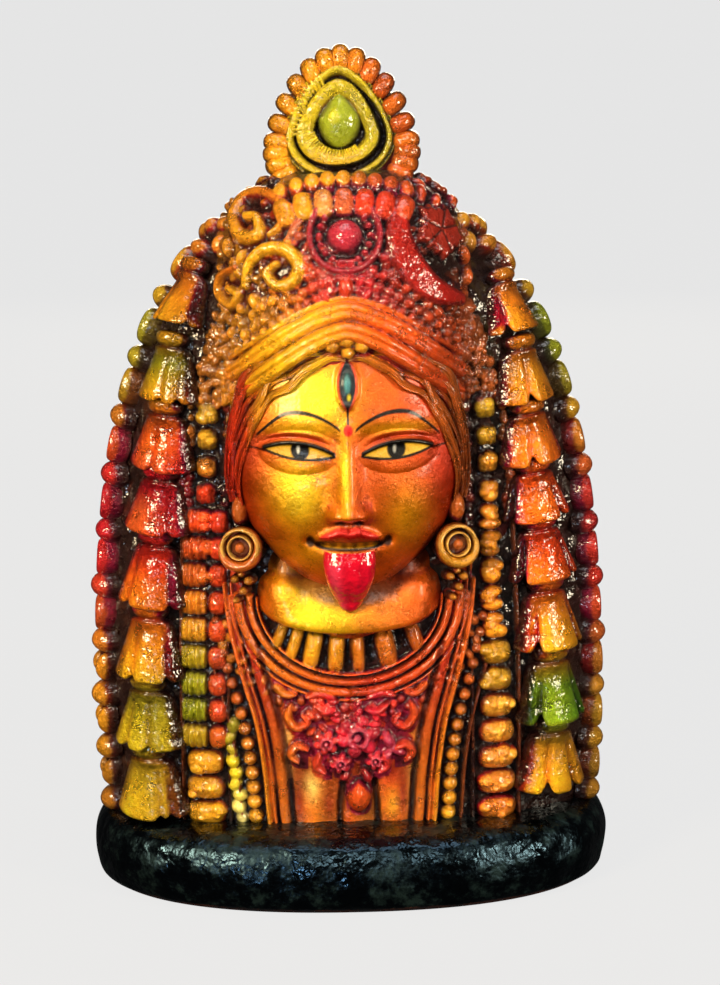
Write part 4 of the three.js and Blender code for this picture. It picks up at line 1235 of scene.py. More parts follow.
def face_relief(x, z):
    """The height of the face over its back plane. x and z are in sixths of its height, from its
    middle, so the brow is at 1, the base of the nose at -1 and the chin at -3."""
    side = np.abs(x)
    jaw = 2.7 - 0.075 * np.maximum(0, -z) ** 2
    skull = np.sqrt(np.maximum(0, 1 - (x / jaw) ** 2 - ((z - 0.3) / 3.45) ** 2))
    brow = 0.09 * oval(side, z, 1.1, 1.2, 1, 0.3) - 0.2 * oval(side, z, 1.05, 0.55, 0.85, 0.45)
    flesh = 0.15 * oval(side, z, 1.35, -0.9, 0.75, 0.75) + 0.12 * oval(side, z, 0, -2.65, 0.6, 0.35)

    down = np.clip((1 - z) / 1.9, 0, 1)
    bridge = ease(-1.14, -0.84, z) * (1 - ease(0.9, 1.4, z))
    nose = (0.12 + 0.46 * down**1.4) * bridge * np.exp(-((x / (0.2 + 0.14 * down)) ** 2))
    nose = nose + 0.24 * oval(side, z, 0.34, -0.86, 0.15, 0.19) + 0.1 * oval(side, z, 0, -0.8, 0.2, 0.22)
    nose = nose - 0.08 * oval(side, z, 0.2, -1.04, 0.1, 0.06)

    ball = np.maximum(0, 1 - ((side - 1.08) / 0.92) ** 2 - ((z - 0.53) / 0.5) ** 2) ** 0.8
    above = z - upper_lid(side)
    lid = 0.06 * hill(above, 0.05) * ease(0.25, 0.5, side) * (1 - ease(1.8, 2.05, side))
    cleft = -0.05 * hill(above - 0.13, 0.05) * ease(0.3, 0.6, side) * (1 - ease(1.7, 2, side))
    third_rim = np.hypot(x / 0.24, (z - 2.02) / 0.46) - 1
    eyes = 0.15 * ball + lid + cleft + 0.1 * oval(side, z, 0, 2.02, 0.22, 0.42) + 0.05 * hill(third_rim, 0.2)

    lips = 0.24 * upper_lip(x, z) - 0.05 * hill(x, 0.09) * hill(z + 1.14, 0.12)
    lips = lips + 0.1 * np.exp(-((x / 0.6) ** 2) - ((z + 1.98) / 0.13) ** 2)
    mouth = -0.2 * np.exp(-((x / 0.85) ** 4) - ((z + 1.68 - 0.1 * x * x) / 0.13) ** 2)
    teeth = 0.1 * np.exp(-((x / 0.6) ** 4) - ((z + 1.64 - 0.08 * x * x) / 0.08) ** 2)
    corners = 0.06 * oval(side, z, 1.12, -1.5, 0.16, 0.3) - 0.12 * oval(side, z, 0.9, -1.52, 0.12, 0.13)
    return FACE_DOME * skull + brow + flesh + nose + eyes + lips + mouth + teeth + corners


def brush_line(colour, gild, distance, width, code, share=1.0):
    """Paints where a distance is within half a width, its edge softened."""
    cover = share * (1 - ease(width * 0.35, width * 0.75, np.abs(distance)))
    return tint(colour, linear(code), cover), mix(gild, 0.6, cover)


def face_skin(x, z):
    """Orange lacquer with painted yellow highlights, and painted red shade towards the edges that reaches
    further in on the right.
    """
    side = np.abs(x)
    colour = np.broadcast_to(linear("#CA5006"), (*x.shape, 3))
    # Painted shade: redder towards the edges, further in on the right, and darker red at the far edges
    colour = tint(colour, linear("#AC1E04"), ease(1.2, 2.4, side + 0.25 * (x > 0)) * 0.85)
    colour = tint(colour, linear("#7A1003"), ease(1.9, 2.7, side) * 0.7)
    # Painted highlights: yellow on the brow, above the eyes, the cheeks, the nose and the chin, brightest on
    # the left
    lights = sum(share * oval(x, z, *place) for share, *place in (
        (1, -0.8, 1.75, 0.85, 0.65), (0.95, -1.1, -0.45, 0.65, 0.8), (0.8, -0.1, 0.1, 0.13, 0.9),
        (0.45, 1.3, -1.0, 0.5, 0.7), (0.4, -0.9, -1.9, 0.8, 0.4), (0.5, 1.1, 1.05, 0.8, 0.16),
        (0.5, -1.1, 1.05, 0.8, 0.16),
    ))
    colour = tint(colour, linear("#F6BC08"), np.clip(lights, 0, 1))
    brightest = 0.8 * oval(x, z, -0.8, 1.8, 0.5, 0.4) + 0.5 * oval(x, z, -1.1, -0.4, 0.35, 0.45)
    return tint(colour, linear("#FFE62A"), brightest)


def paint_eyes(x, z, colour, gild):
    """Red over the lids, then gold whites, dark pupils with a glint, black lines and the brows."""
    side = np.abs(x)
    above, below = z - upper_lid(side), z - lower_lid(side)
    lid = ease(0.3, 0.7, side) * (1 - ease(1.6, 2, side)) * 0.85
    colour, gild = brush_line(colour, gild, above - 0.16, 0.14, "#A82408", lid)
    opening = (above < 0) & (below > 0) & (np.abs(side - 1.08) < 0.8)
    colour = np.where(opening[..., None], linear("#D9A62A"), colour)
    gild = np.where(opening, 0.1, gild)
    iris = np.hypot((side - 1.06) / 0.22, (z - 0.58) / 0.24)
    dark = np.where(opening, 1 - ease(0.85, 1.05, iris), 0)
    colour = tint(colour, linear("#040303"), dark)
    gild = mix(gild, 0.6, dark)
    glint = 1 - ease(0.4, 1, np.hypot((x - np.sign(x) * 1.06 + 0.04) / 0.05, (z - 0.6) / 0.14))
    colour = tint(colour, linear("#D8D8D0"), glint * 0.8)
    inside = ease(0.26, 0.3, side) * (1 - ease(1.88, 1.92, side))
    colour, gild = brush_line(colour, gild, above, 0.1, "#050302", inside)
    colour, gild = brush_line(colour, gild, below, 0.06, "#050302", inside)
    tail = ease(1.75, 1.85, side) * (1 - ease(2.42, 2.5, side))
    colour, gild = brush_line(colour, gild, z - 0.54 - 0.1 * (side - 1.85), 0.04, "#3A0A04", tail)

    # Each brow is one thin arch, thick in the middle and fine at the ends
    arch = 1.0 + 0.42 * np.sin(np.clip((side - 0.15) / 1.9, 0, 1) * math.pi) ** 0.8
    arch = arch - 0.2 * ease(1.3, 2.1, side)
    width = 0.06 + 0.03 * np.sin(np.clip((side - 0.1) / 2, 0, 1) * math.pi)
    reach = ease(0.13, 0.2, side) * (1 - ease(1.98, 2.1, side))
    return brush_line(colour, gild, z - arch, width, "#060302", reach)


def paint_third_eye(x, z, colour, gild):
    """A red rim, a dark blue almond with a green and gold heart, a line and the dot under it."""
    pinch = 0.17 * np.sqrt(np.clip(1 - ((z - 2.02) / 0.62) ** 2, 0.02, 1)) + 1e-3
    almond = np.hypot(x / pinch, (z - 2.02) / 0.5)
    colour = tint(colour, linear("#B02A10"), (1 - ease(1.25, 1.5, almond)) * 0.9)
    colour = tint(colour, linear("#0C1A22"), 1 - ease(0.95, 1.15, almond))
    heart = np.hypot(x / 0.08, (z - 2.04) / 0.24)
    colour = tint(colour, linear("#3E7A80"), (1 - ease(0.5, 1.2, heart)) * 0.9)
    gold = np.hypot((x - 0.03) / 0.06, (z - 1.76) / 0.11)
    colour = tint(colour, linear("#C8B82A"), 1 - ease(0.3, 1, gold))
    reach = ease(1.12, 1.16, z) * (1 - ease(1.6, 1.7, z))
    colour, gild = brush_line(colour, gild, x, 0.035, "#0A0503", reach)
    dot = np.hypot(x / 0.12, (z - 1.04) / 0.14)
    return tint(colour, linear("#C41408"), 1 - ease(0.7, 1.1, dot)), gild


def paint_mouth(x, z, colour):
    """The nostrils, the lip, the dark of the mouth, the gold teeth and the corners."""
    side = np.abs(x)
    hole = np.hypot((side - 0.2) / 0.14, (z + 1.06) / 0.07)
    colour = tint(colour, linear("#1A0804"), (1 - ease(0.6, 1.3, hole)) * 0.9)
    colour = tint(colour, linear("#C01A10"), ease(0.3, 0.6, upper_lip(x, z)))
    gum = np.exp(-((x / 0.84) ** 6)) * hill(z + 1.69 - 0.12 * x * x, 0.14)
    colour = tint(colour, linear("#180503"), ease(0.35, 0.6, gum))
    tooth = np.exp(-((x / 0.68) ** 6)) * hill(z + 1.66 - 0.09 * x * x, 0.1)
    colour = tint(colour, linear("#E0A41C"), ease(0.4, 0.6, tooth) * (0.7 + 0.3 * np.cos(x * 26)))
    corner = np.hypot((side - 0.86) / 0.1, (z + 1.56) / 0.16)
    return tint(colour, linear("#120403"), (1 - ease(0.7, 1.2, corner)) * 0.95)


def face():
    """The face, which narrows toward the chin."""
    relief = Relief()
    u = np.linspace(-1, 1, 204)[None, :]
    v = np.linspace(-1, 1, 240)[:, None]
    taper = 1 - 0.12 * np.maximum(0, -v) ** 2
    x = u * np.sqrt(1 - v * v / 2) * FACE_WIDTH / 2 * taper
    z = v * np.sqrt(1 - u * u / 2) * FACE_HEIGHT / 2 + 0 * x
    place = (x / FACE_SIXTH, z / FACE_SIXTH)
    points = np.stack([x, FACE_BACK - face_relief(*place) * FACE_RISE, FACE_CENTRE + z], -1)
    colour, gild = paint_eyes(*place, face_skin(*place), np.full(x.shape, 0.55))
    colour, gild = paint_third_eye(*place, colour, gild)
    relief.sheet(points, paint_mouth(*place, colour), gild)
    relief.build("face", brushed_lacquer("rubbed_metallic_lacquer", 1.0))


def tongue():
    """The tongue, put out over the chin, with a groove down its middle."""
    relief = Relief()
    s = np.linspace(0, 1, 60)[:, None]
    t = np.linspace(-1, 1, 41)[None, :]
    width = follow([(0, 0.98), (0.2, 1), (0.5, 0.86), (0.8, 0.54), (0.95, 0.3), (1, 0.1)], s)
    x = 6 * width * np.sin(t * math.pi / 2) + 0 * s
    curl = 2.4 * s - 2 * np.sin(math.pi * np.clip(1.25 * s, 0, 1))
    body = 4.6 * np.sqrt(np.clip(width, 0, 1)) * np.clip(np.cos(t * math.pi / 2), 0, 1) ** 0.6
    groove = 0.5 * hill(t, 0.12) * ease(0.05, 0.3, s) * (1 - ease(0.7, 1, s))
    y = FACE_BACK - 0.72 * FACE_ROUND + curl - body + groove
    z = FACE_CENTRE - 1.75 * FACE_SIXTH - 15.5 * s + 0 * t
    # A painted highlight: a pale pink stripe down the left of the tongue
    shine = hill(t + 0.45, 0.2) * ease(0.05, 0.2, s) * 0.6
    red = tint(linear("#C00A26"), linear("#D8405E"), shine)
    relief.sheet(np.stack([x, y, z], -1), red, 0.0)
    relief.build("tongue", wet_enamel())


# Colours across the hair over the brow, from left to right
HAIR_WASH = [
    (-27, "#C02808"), (-23, "#C8400C"), (-20, "#D89014"), (-6, "#E8B41A"), (0, "#DC961C"), (8, "#CC6A14"),
    (20, "#B85A12"), (27, "#A04A14"),
]


def hair():
    """Waved locks from the parting down both sides of the face to the ears, under the band, and
    a small flower at the parting."""
    relief = Relief()
    locks = 6
    s = np.linspace(0, 1, 120)[:, None]
    t = np.linspace(-1, 1, 17)[None, :]
    for side in (-1, 1):
        for i in range(locks):
            share = (i + 0.5) / locks
            turn = np.radians(mix(1, 107 - 3 * share, s))
            gather = ease(0.45, 1, s)
            wave = 0.026 * np.sin(15 * s + 1.3 * i) + 0.01 * np.sin(31 * s + i)
            wave = wave * (1 - 0.8 * ease(0.4, 0.85, s))
            reach = mix(mix(0.83, 0.96, gather), mix(1.12, 1.07, gather), share) + wave
            half = 0.036 * ease(-0.04, 0.05, s) * (1 + 0.2 * np.sin(9 * s + 2 * i))
            far = reach + half * mix(1, 0.5, gather) * t
            x = side * FACE_WIDTH / 2 * far * np.sin(turn)
            z = FACE_CENTRE + FACE_HEIGHT / 2 * far * np.cos(turn)
            under = face_relief(x / FACE_SIXTH, (z - FACE_CENTRE) / FACE_SIXTH) * FACE_RISE
            base = np.maximum(under, mix(12.4, 3.6, ease(0, 0.9, s)) - 0.8 * (1 - share))
            strand = 0.2 * np.cos(3 * math.pi * t + 2 * np.sin(11 * s))
            high = base - 0.4 + (1.9 + strand) * dome(t) + 0.5 * np.sin(7 * s + 2.4 * i)
            points = np.stack([x, FACE_BACK - high, z], -1)
            colour = ramp(HAIR_WASH, x) * (1 + 0.15 * math.sin(2.1 * i))
            # Painted shade: each lock is painted darker towards its edges, between the locks
            relief.sheet(points, tint(colour * 0.4, colour, dome(t) + 0 * s), 0.7)
    ground = Plane((0, -29, 0), (0, 0, 1), (0, -1, 0))
    for x, z, wide, long in (
        (0, 135.2, 5, 4.2), (-3.4, 134, 4, 4), (3.4, 133.8, 4, 4), (0.2, 132.2, 3.6, 3.2),
    ):
        knob(relief, ground, x, z, wide, long, 2.6, linear("#D8961A"), rings=7, sides=16,
             outline=lambda turn: 1 + 0.08 * np.cos(5 * turn))
    relief.build("hair", brushed_lacquer())


# The collar: the height of its ends, half its breadth and how far it hangs down
COLLAR_TOP = 73
COLLAR_HALF = 27
COLLAR_DROP = 24
# Colours across the neck, the blouse, the collar with its leaves and the pendant, from left to
# right, and half the opening between the shawl's edges by height
# Across the neck, the yellow left of the middle is partly a painted highlight
NECK_WASH = [
    (-24, "#C0300A"), (-18, "#E07A10"), (-12, "#F0C010"), (-3, "#F0B80E"), (3, "#DC8010"),
    (14, "#D8600E"), (24, "#B03A0C"),
]
SHAWL = [(14, 18.6), (20, 19.3), (31, 20), (43, 21.7), (55, 24.8), (68, 27.6), (80, 28.6)]
BLOUSE_WASH = [
    (-20, "#D8440E"), (-13, "#E46410"), (-5, "#D84010"), (4, "#D02C0E"), (12, "#DC3C10"),
    (20, "#E06412"),
]
# Painted highlights in pale yellow and painted shade in dark red along the blouse's folds:
# place, half sizes, colour and strength
BLOUSE_HIGHLIGHTS_AND_SHADE = [
    (-14.4, 37, 1.3, 7, "#FFD870", 0.8), (-9.4, 27, 2.2, 3.6, "#FFDC70", 0.9),
    (-12.6, 23, 1.3, 6, "#B42408", 0.8), (15.4, 27, 1.6, 6, "#FFDC78", 0.9),
    (14, 37, 1.8, 6, "#F8A840", 0.7), (9.6, 22, 1.6, 4, "#F8B028", 0.7),
    (0, 46, 11, 6, "#A81408", 0.8), (-5.4, 22, 1.6, 5, "#B82808", 0.8),
    (12, 25, 1, 6, "#B82C08", 0.8), (-12, 33, 2, 3, "#A01808", 0.7), (9, 30, 2, 3, "#A81C08", 0.6),
]
COLLAR_WASH = [
    (-27, "#C85A12"), (-18, "#DC7412"), (-6, "#D05A10"), (4, "#BC300C"), (14, "#C4420E"), (27, "#C05012"),
]
COLLAR_LEAVES = [
    (-27, "#C87A18"), (-12, "#CC5A24"), (0, "#B01E28"), (12, "#B02420"), (27, "#B85818"),
]
PENDANT_WASH = [
    (-18, "#E08A1A"), (-11, "#D45020"), (-5, "#C8242C"), (0, "#BC1636"), (5, "#C01C32"),
    (11, "#CC3420"), (18, "#D05A1A"),
]
# The curls of the pendant's right side, which its left side mirrors
CURLS = [
    [(13.8, 48.2), (14.6, 44.6), (12.6, 42), (10.2, 43.4), (11.4, 45.4)],
    [(9.8, 36.6), (12.6, 37.4), (14, 35.2), (12.2, 33.4)],
    [(8.6, 47.6), (6, 45.8), (3.2, 46.6)],
    [(10.4, 49.6), (7, 50.4), (3.6, 49.2)],
    [(7.4, 35.6), (8.2, 32.4), (6, 30.6)],
    [(17.6, 52.6), (15.2, 50.2), (12.4, 50.4)],
]


def neck():
    """The broad neck, drawn in under the chin."""
    relief = Relief()
    angle = np.linspace(-100, 100, 150)[None, :]
    s = np.linspace(0, 1, 50)[:, None]
    x = NECK.on(angle, 72)[..., 0]
    low = 63.6 + 4.6 * np.clip(np.abs(x) / 21, 0, 1) ** 2
    z = mix(low, 98, s)
    points = NECK.wrap(angle, z, -1.6 * ease(0.09, 0, s) + 0 * angle)
    points[..., 1] += mix(13 * s, 13 * ease(77, 98, z), ease(9, 19, np.abs(x)))
    colour = ramp(NECK_WASH, points[..., 0])
    # Painted shade: a dark band on the neck just under the jaw
    jaw = FACE_CENTRE - FACE_HEIGHT / 2 + 0.028 * points[..., 0] ** 2
    colour = tint(colour, linear("#4A0E04"), ease(3.4, 0.8, jaw - z) * 0.85)
    relief.sheet(points, colour, 0.55)
    relief.build("neck", brushed_lacquer("rubbed_metallic_lacquer", 1.0))


def collar_line(inset, start=0.0, end=1.0, count=200):
    """A half ring round the neck, some way inside the collar's edge."""
    turn = math.pi * (1 + np.linspace(start, end, count))
    x = (COLLAR_HALF - inset) * np.cos(turn)
    return np.stack([x, COLLAR_TOP + (COLLAR_DROP - inset) * np.sin(turn)], -1)


def dress():
    """The front of the figure under the neck: hanging tags on a dark ground, the ridged collar,
    the blouse with its floral pendant, and the shawl's edges with beads beside them."""
    rng = np.random.default_rng(9)
    dark = linear(HOLLOW)
    across = np.linspace(-1, 1, 284)[None, :]
    height = np.linspace(PLINTH_HEIGHT - 2, 80, 232)[:, None]
    carving = Carving(BUST, 29.5 * across, height, lambda x, z: dark + 0 * x[..., None])
    carving.high -= 1.6 * ease(0.95, 1, np.abs(across))
    carving.gild[:] = 0.65
    blouse(carving)
    collar(carving, rng)
    shawl(carving, rng)
    pendant(carving, rng)
    carving.build("dress")


def blouse(carving):
    """The blouse, in soft folds between the shawl's edges and under the collar, with painted highlights and
    painted shade on them.
    """
    x, z = carving.x, carving.z
    ring = np.hypot(x / (COLLAR_HALF - 1), (z - COLLAR_TOP) / (COLLAR_DROP - 1))
    cloth = (np.abs(x) < follow(SHAWL, z)) & (ring > 1)
    folds = 0.5 * np.sin(np.abs(x) * 0.62 + z * 0.1) * ease(46, 26, z)
    folds = 1.1 + folds + 0.25 * wobble(carving.skin, 5, 8)
    # Painted highlights: golden streaks low on the blouse
    low = ease(38, 20, z) * (0.2 + 0.3 * np.abs(np.sin(x * 0.29 + 0.3)))
    colour = tint(ramp(BLOUSE_WASH, x), linear("#F0A01A"), low)
    ragged = 0.25 * wobble(carving.skin, 4, 14)
    # Painted highlights and painted shade in strokes over the folds
    for cx, cz, wide, long, code, share in BLOUSE_HIGHLIGHTS_AND_SHADE:
        patch = hill(np.hypot((x - cx) / wide, (z - cz) / long) + ragged, 1)
        colour = tint(colour, linear(code), share * np.clip(patch, 0, 1))
    carving.lift(cloth, folds[cloth], colour[cloth] * 1.5, 0.6)


def collar(carving, rng):
    """The tags on the dark ground, the collar's ridges over them and small leaves under it."""
    for x, wide, bright in (
        (-16.6, 3, 0.8), (-13, 3.2, 1), (-8.7, 4.2, 1.1), (-3.2, 4, 1), (1.8, 3.2, 0.9),
        (8.3, 4.8, 0.9), (15.2, 4, 0.7),
    ):
        z = COLLAR_TOP - 13.2 * math.sqrt(1 - (x / 25) ** 2)
        colour = ramp([(-18, "#D0901A"), (-6, "#E0A01A"), (2, "#D87818"), (18, "#C85A14")], x)
        carving.boss(x, z, wide, 10.4, 3.2, colour * bright, turn=x * 1.4, outline=boxy)
        carving.groove([(x - 0.2, z - 4), (x + 0.1, z + 4)], 0.3, 0.7)
    for inset, wide, high, bright in (
        (-0.4, 0.6, 2.2, 1.25), (1.5, 1.5, 3.2, 1), (4.1, 1.3, 3.6, 1), (5.7, 0.4, 2.8, 1.25),
    ):
        path = collar_line(inset)
        carving.stroke(path, wide, high, ramp(COLLAR_WASH, path[:, 0]) * bright, shape=full)
    for inset in (0.2, 2.9, 5.1):
        carving.groove(collar_line(inset), 0.45, 0.9)
    for row, inset in enumerate((-2.6, -5)):
        for x, z in collar_line(inset, 0.08 + 0.05 * row, 0.92 - 0.05 * row, 24 - 4 * row):
            colour = ramp(COLLAR_LEAVES, x)
            wide, long = rng.uniform(2.2, 3), rng.uniform(2.4, 3.4)
            carving.boss(x, z, wide, long, 2.2, colour * rng.uniform(0.8, 1.3), turn=rng.uniform(0, 180))


def shawl(carving, rng):
    """The shawl's edges: fine ridges and a smooth broad one with grooves beside it, a string of
    beads, and a lumpy yellow strip on the left."""
    z = np.linspace(PLINTH_HEIGHT - 2, 76, 220)
    half = follow(SHAWL, z)
    for side in (-1, 1):
        for shift, wide, high, start, end in (
            (0.3, 0.7, 2.8, "#E09018", "#D8641A"), (-1.2, 0.5, 2.2, "#D86A18", "#C8501A"),
            (-3.4, 1.5, 2.1, "#E0761A", "#B82C10"), (6.6, 0.5, 1.6, "#8A4014", "#7A3012"),
        ):
            colour = tint(linear(start), linear(end), ease(20, 60, z))
            carving.stroke(np.stack([side * (half + shift), z], -1), wide, high, colour)
        for shift, wide in ((-2, 0.45), (-5.3, 0.8)):
            path = np.stack([side * (half + shift), z], -1)[z < 62]
            carving.groove(path, wide, 0.5, linear("#5A0C04"))
        for i in range(15):
            up = PLINTH_HEIGHT + 1.6 + 3.7 * i
            x = side * (float(follow(SHAWL, np.array(up))) + 3.4)
            colour = ramp([(18, "#E0A020"), (34, "#D8881C"), (50, "#B8581A"), (70, "#8A3A14")], up)
            size = mix(3.6, 2.4, i / 14)
            carving.boss(x, up, size * 1.08, size * 1.1, 2.6, colour * rng.uniform(0.85, 1.25))
    for x, up in trace([(-28, 42), (-27.8, 36), (-27.2, 28), (-26.4, 18.5)], 9):
        # The strip's near-white bottom end is partly a painted highlight
        colour = ramp([(18, "#F8EC90"), (28, "#F4DC20"), (35, "#D8C014"), (42, "#8A8210")], up)
        wide, long = rng.uniform(2.6, 4), rng.uniform(3.4, 4.8)
        x = x + rng.uniform(-0.6, 0.6)
        high = rng.uniform(1.7, 2.5)
        carving.boss(x, up, wide, long, high, colour * rng.uniform(0.8, 1.3), turn=rng.uniform(-40, 40),
                     gild=0.3)


def rose(carving, x, z, size):
    """A flower of the pendant: six petals round a ring with a bud in it."""
    colour, lilac = ramp(PENDANT_WASH, x), linear("#D0607E")
    for i in range(6):
        turn = 60 * i + 15
        way = math.radians(turn)
        bright = 0.8 + 0.4 * (i % 2)
        carving.boss(x + 0.62 * size * math.cos(way), z + 0.66 * size * math.sin(way), 0.8 * size, size,
                     3.2, colour * bright, turn=turn - 90, gild=0.4)
    carving.stroke(arc((x, z), (0.42 * size, 0.46 * size), -60, 240, 50), 0.15 * size, 3.9,
                   tint(colour, lilac, 0.45), gild=0.4)
    carving.boss(x - 0.05 * size, z, 0.45 * size, 0.5 * size, 4.1, tint(colour, lilac, 0.6), gild=0.3)


def pendant(carving, rng):
    """The pendant: flowers among curls and leaves, and a drop between two grooves."""
    for x, z, size in ((1.6, 39.4, 5), (-5.8, 38.2, 3), (5.6, 33.6, 2.4), (-2.6, 33, 2.5)):
        rose(carving, x, z, size)
    for x, z, wide, long, turn in (
        (8.6, 38.6, 3.2, 5.6, 30), (10.8, 36, 2.8, 5, 60), (8.2, 34.8, 2.6, 4.4, -40),
    ):
        carving.boss(x, z, wide, long, 3.4, linear("#A8284A"), turn=turn, gild=0.35)
    for places in CURLS:
        for side in (1, -1):
            path = trace(np.array(places) * np.array([side, 1]), 50)
            carving.stroke(path, 1.1 * fade(50, 0.25) + 0.15, 3.4, ramp(PENDANT_WASH, path[:, 0]))
    for _ in range(70):
        x, z = rng.uniform(-15, 15), rng.uniform(28, 52)
        if z > 30 + 1.1 * abs(x) and z < 52 - 0.03 * x * x:
            wide, long, high = rng.uniform(1.6, 2.6), rng.uniform(2.4, 4), rng.uniform(2.6, 3.3)
            colour = ramp(PENDANT_WASH, x) * rng.uniform(0.6, 1.6)
            carving.boss(x, z, wide, long, high, colour, turn=rng.uniform(0, 180))
    for side in (-1, 1):
        carving.boss(side * 2.6 + 1, 29.4, 2.6, 5, 2.6, linear("#A81E24"), turn=side * 24)
    for x, lean in ((-2.6, -0.5), (5.8, 0.5)):
        carving.groove(trace([(x - lean, 28), (x, 23), (x + 0.6 * lean, 17)]), 0.9, 1.1, linear("#200602"))
    carving.boss(1.6, 24.4, 6, 8.6, 4.4, linear("#D85010"), outline=drop)


def earrings():
    """Ringed discs at the ears, with a drop above, a thick crescent and a few beads below."""
    relief = Relief()
    gold, brown = linear("#DCA84A"), linear("#7A3A12")
    s = np.linspace(0, 1, 50)
    for side, low_colour in ((-1, "#C86414"), (1, "#D8961E")):
        origin = BUST.place(np.array(side * 24.0), np.array(86.0), np.array(6.4))
        ground = Plane(origin, (0, 0, 1), (side * 0.25, -1, 0.1))
        knob(relief, ground, 0, 0, 9.6, 9.6, 1.2, brown, rings=8, sides=32, sink=6)
        for reach, wide, high in ((4.2, 0.65, 2.1), (2.7, 0.45, 2)):
            ribbon(relief, ground, arc((0, 0), (reach, reach), -90, 270, 44), wide, high, gold, columns=7)
        knob(relief, ground, 0, 0, 2.8, 3.1, 2.6, linear("#B85A1C"), rings=7, sides=18)
        low = arc((side * 0.3, -0.2), (4.2, 4.2), 150, 390, 50)
        ribbon(relief, ground, low, 0.4 + 1.1 * np.sin(math.pi * s), 2.6 * np.sin(math.pi * s) ** 0.4,
               linear(low_colour), columns=9)
        knob(relief, ground, side * 0.6, 8.4, 5, 9, 1.5, linear("#B0560F"), rings=8, sides=18, sink=5)
        for x, z, size in (
            (-1.6, -7.6, 2.6), (1.6, -7.8, 2.8), (0, -6.2, 2.4), (0.4, -10.2, 2.6), (-1.2, -12.4, 2.2),
        ):
            knob(relief, ground, x, z, size, size, 1.4, linear("#B8781C"), rings=6, sides=12, sink=4)
    relief.build("earrings", brushed_lacquer())


# The plinth's side from its foot to under the bust: share of its height, and how far in it lies
PLINTH_SIDE = [
    (0, 4.1), (0.03, 3.3), (0.14, 1.05), (0.4, 0), (0.66, 0.36), (0.88, 2.28), (0.97, 5.2), (1, 9),
    (1.01, 24),
]


def squared(value):
    """A cosine or sine drawn out, so that the oval of the plinth is a little square."""
    return np.sign(value) * np.abs(value) ** (2 / 2.25)


def plinth():
    """The rounded plinth, a little uneven as a hand would leave it."""
    relief = Relief()
    rows = np.column_stack([np.linspace(0, 1, len(PLINTH_SIDE)), np.array(PLINTH_SIDE)])
    p = np.linspace(0, 1, 60)
    share, inward = follow(rows, p, 1), follow(rows, p, 2)[:, None]
    turn = np.linspace(0, 2 * math.pi, 360, endpoint=False)[None, :]
    x = (PLINTH_WIDTH / 2 - inward) * squared(np.cos(turn))
    y = (PLINTH_DEPTH / 2 - inward) * squared(np.sin(turn))
    z = np.clip(PLINTH_HEIGHT * share, 0, PLINTH_HEIGHT + 0.1)[:, None] + 0 * x
    points = np.stack([x, y, z], -1)
    dent = bpy.context.scene.idol_sizes.dent / MM
    rough = wobble(points, 12, 4) * dent + wobble(points, 3.2, 6) * 0.3
    out = unit(points * np.array([1, 1, 0]) + 1e-6)
    points = points - out * ((0.6 + rough) * ease(0, 4, z))[..., None] * 0.7
    colour = np.broadcast_to(linear("#010101"), points.shape)
    worn = (1 - ease(0.3, 4.2, z)) * 0.74
    relief.sheet(points, colour, worn, closed=True, tip=True)
    relief.build("plinth", black_enamel())


# The maps on which the staining and painted shade are worked out: the size of a cell up the
# figure and across the crest, the number of cells round the figure, the top, half the crest's map
# and a level under all
HOLLOW_MAP_UP = 0.4
HOLLOW_MAP_ACROSS = 0.3
HOLLOW_MAP_COLUMNS = 900
HOLLOW_MAP_TOP = 205
HOLLOW_MAP_HALF = 40
HOLLOW_MAP_FLOOR = 60
# Smooth pieces hold only a share of the staining and painted shade
STAIN_AND_SHADE_SHARE = {"face": 0.3, "tongue": 0.2, "hair": 0.8, "neck": 0.5}


def spread(values, up, across, join):
    """Joins each cell of a map with its neighbours, such as by their sum or their maximum."""
    for axis, size in ((0, up), (1, across)):
        total = values
        for shift in range(1, size + 1):
            total = join(total, join(np.roll(values, shift, axis), np.roll(values, -shift, axis)))
        values = total
    return values


def hollows(row, column, reach, rows, columns):
    """How far points on a map lie below the carving close to them, as a share of 0 to 1."""
    far = np.zeros((rows, columns), np.float32)
    np.maximum.at(far, (row, column), reach)
    filled = (far > 0).astype(np.float32)

    # Against the highest point within about 2 mm, and the mean height within about 3 mm
    highest = spread(far, 4, 6, np.maximum)
    mean = spread(far, 8, 9, np.add) / np.maximum(spread(filled, 8, 9, np.add), 1e-3)
    close = ease(0.9, 3, highest[row, column] - reach)
    broad = ease(0.5, 2.2, mean[row, column] - reach)
    return np.maximum(close, broad)


def over(loft, points):
    """The height of points over a loft's skin, and the way the skin faces there."""
    half, front, back = loft.section(points[:, 2])
    depth = points[:, 1] - SET_BACK
    sizes = np.stack([half, np.where(depth < 0, front, back)], -1)
    plan = np.stack([points[:, 0], depth], -1)
    power = loft.square
    share = (np.abs(plan / sizes) ** power).sum(-1) ** (1 / power)
    share = np.maximum(share, 1e-3)
    slope = np.sign(plan) * np.abs(plan) ** (power - 1) / sizes**power * share[:, None] ** (1 - power)
    steep = np.linalg.norm(slope, axis=-1) + 1e-6
    return (share - 1) / steep, slope / steep[:, None]


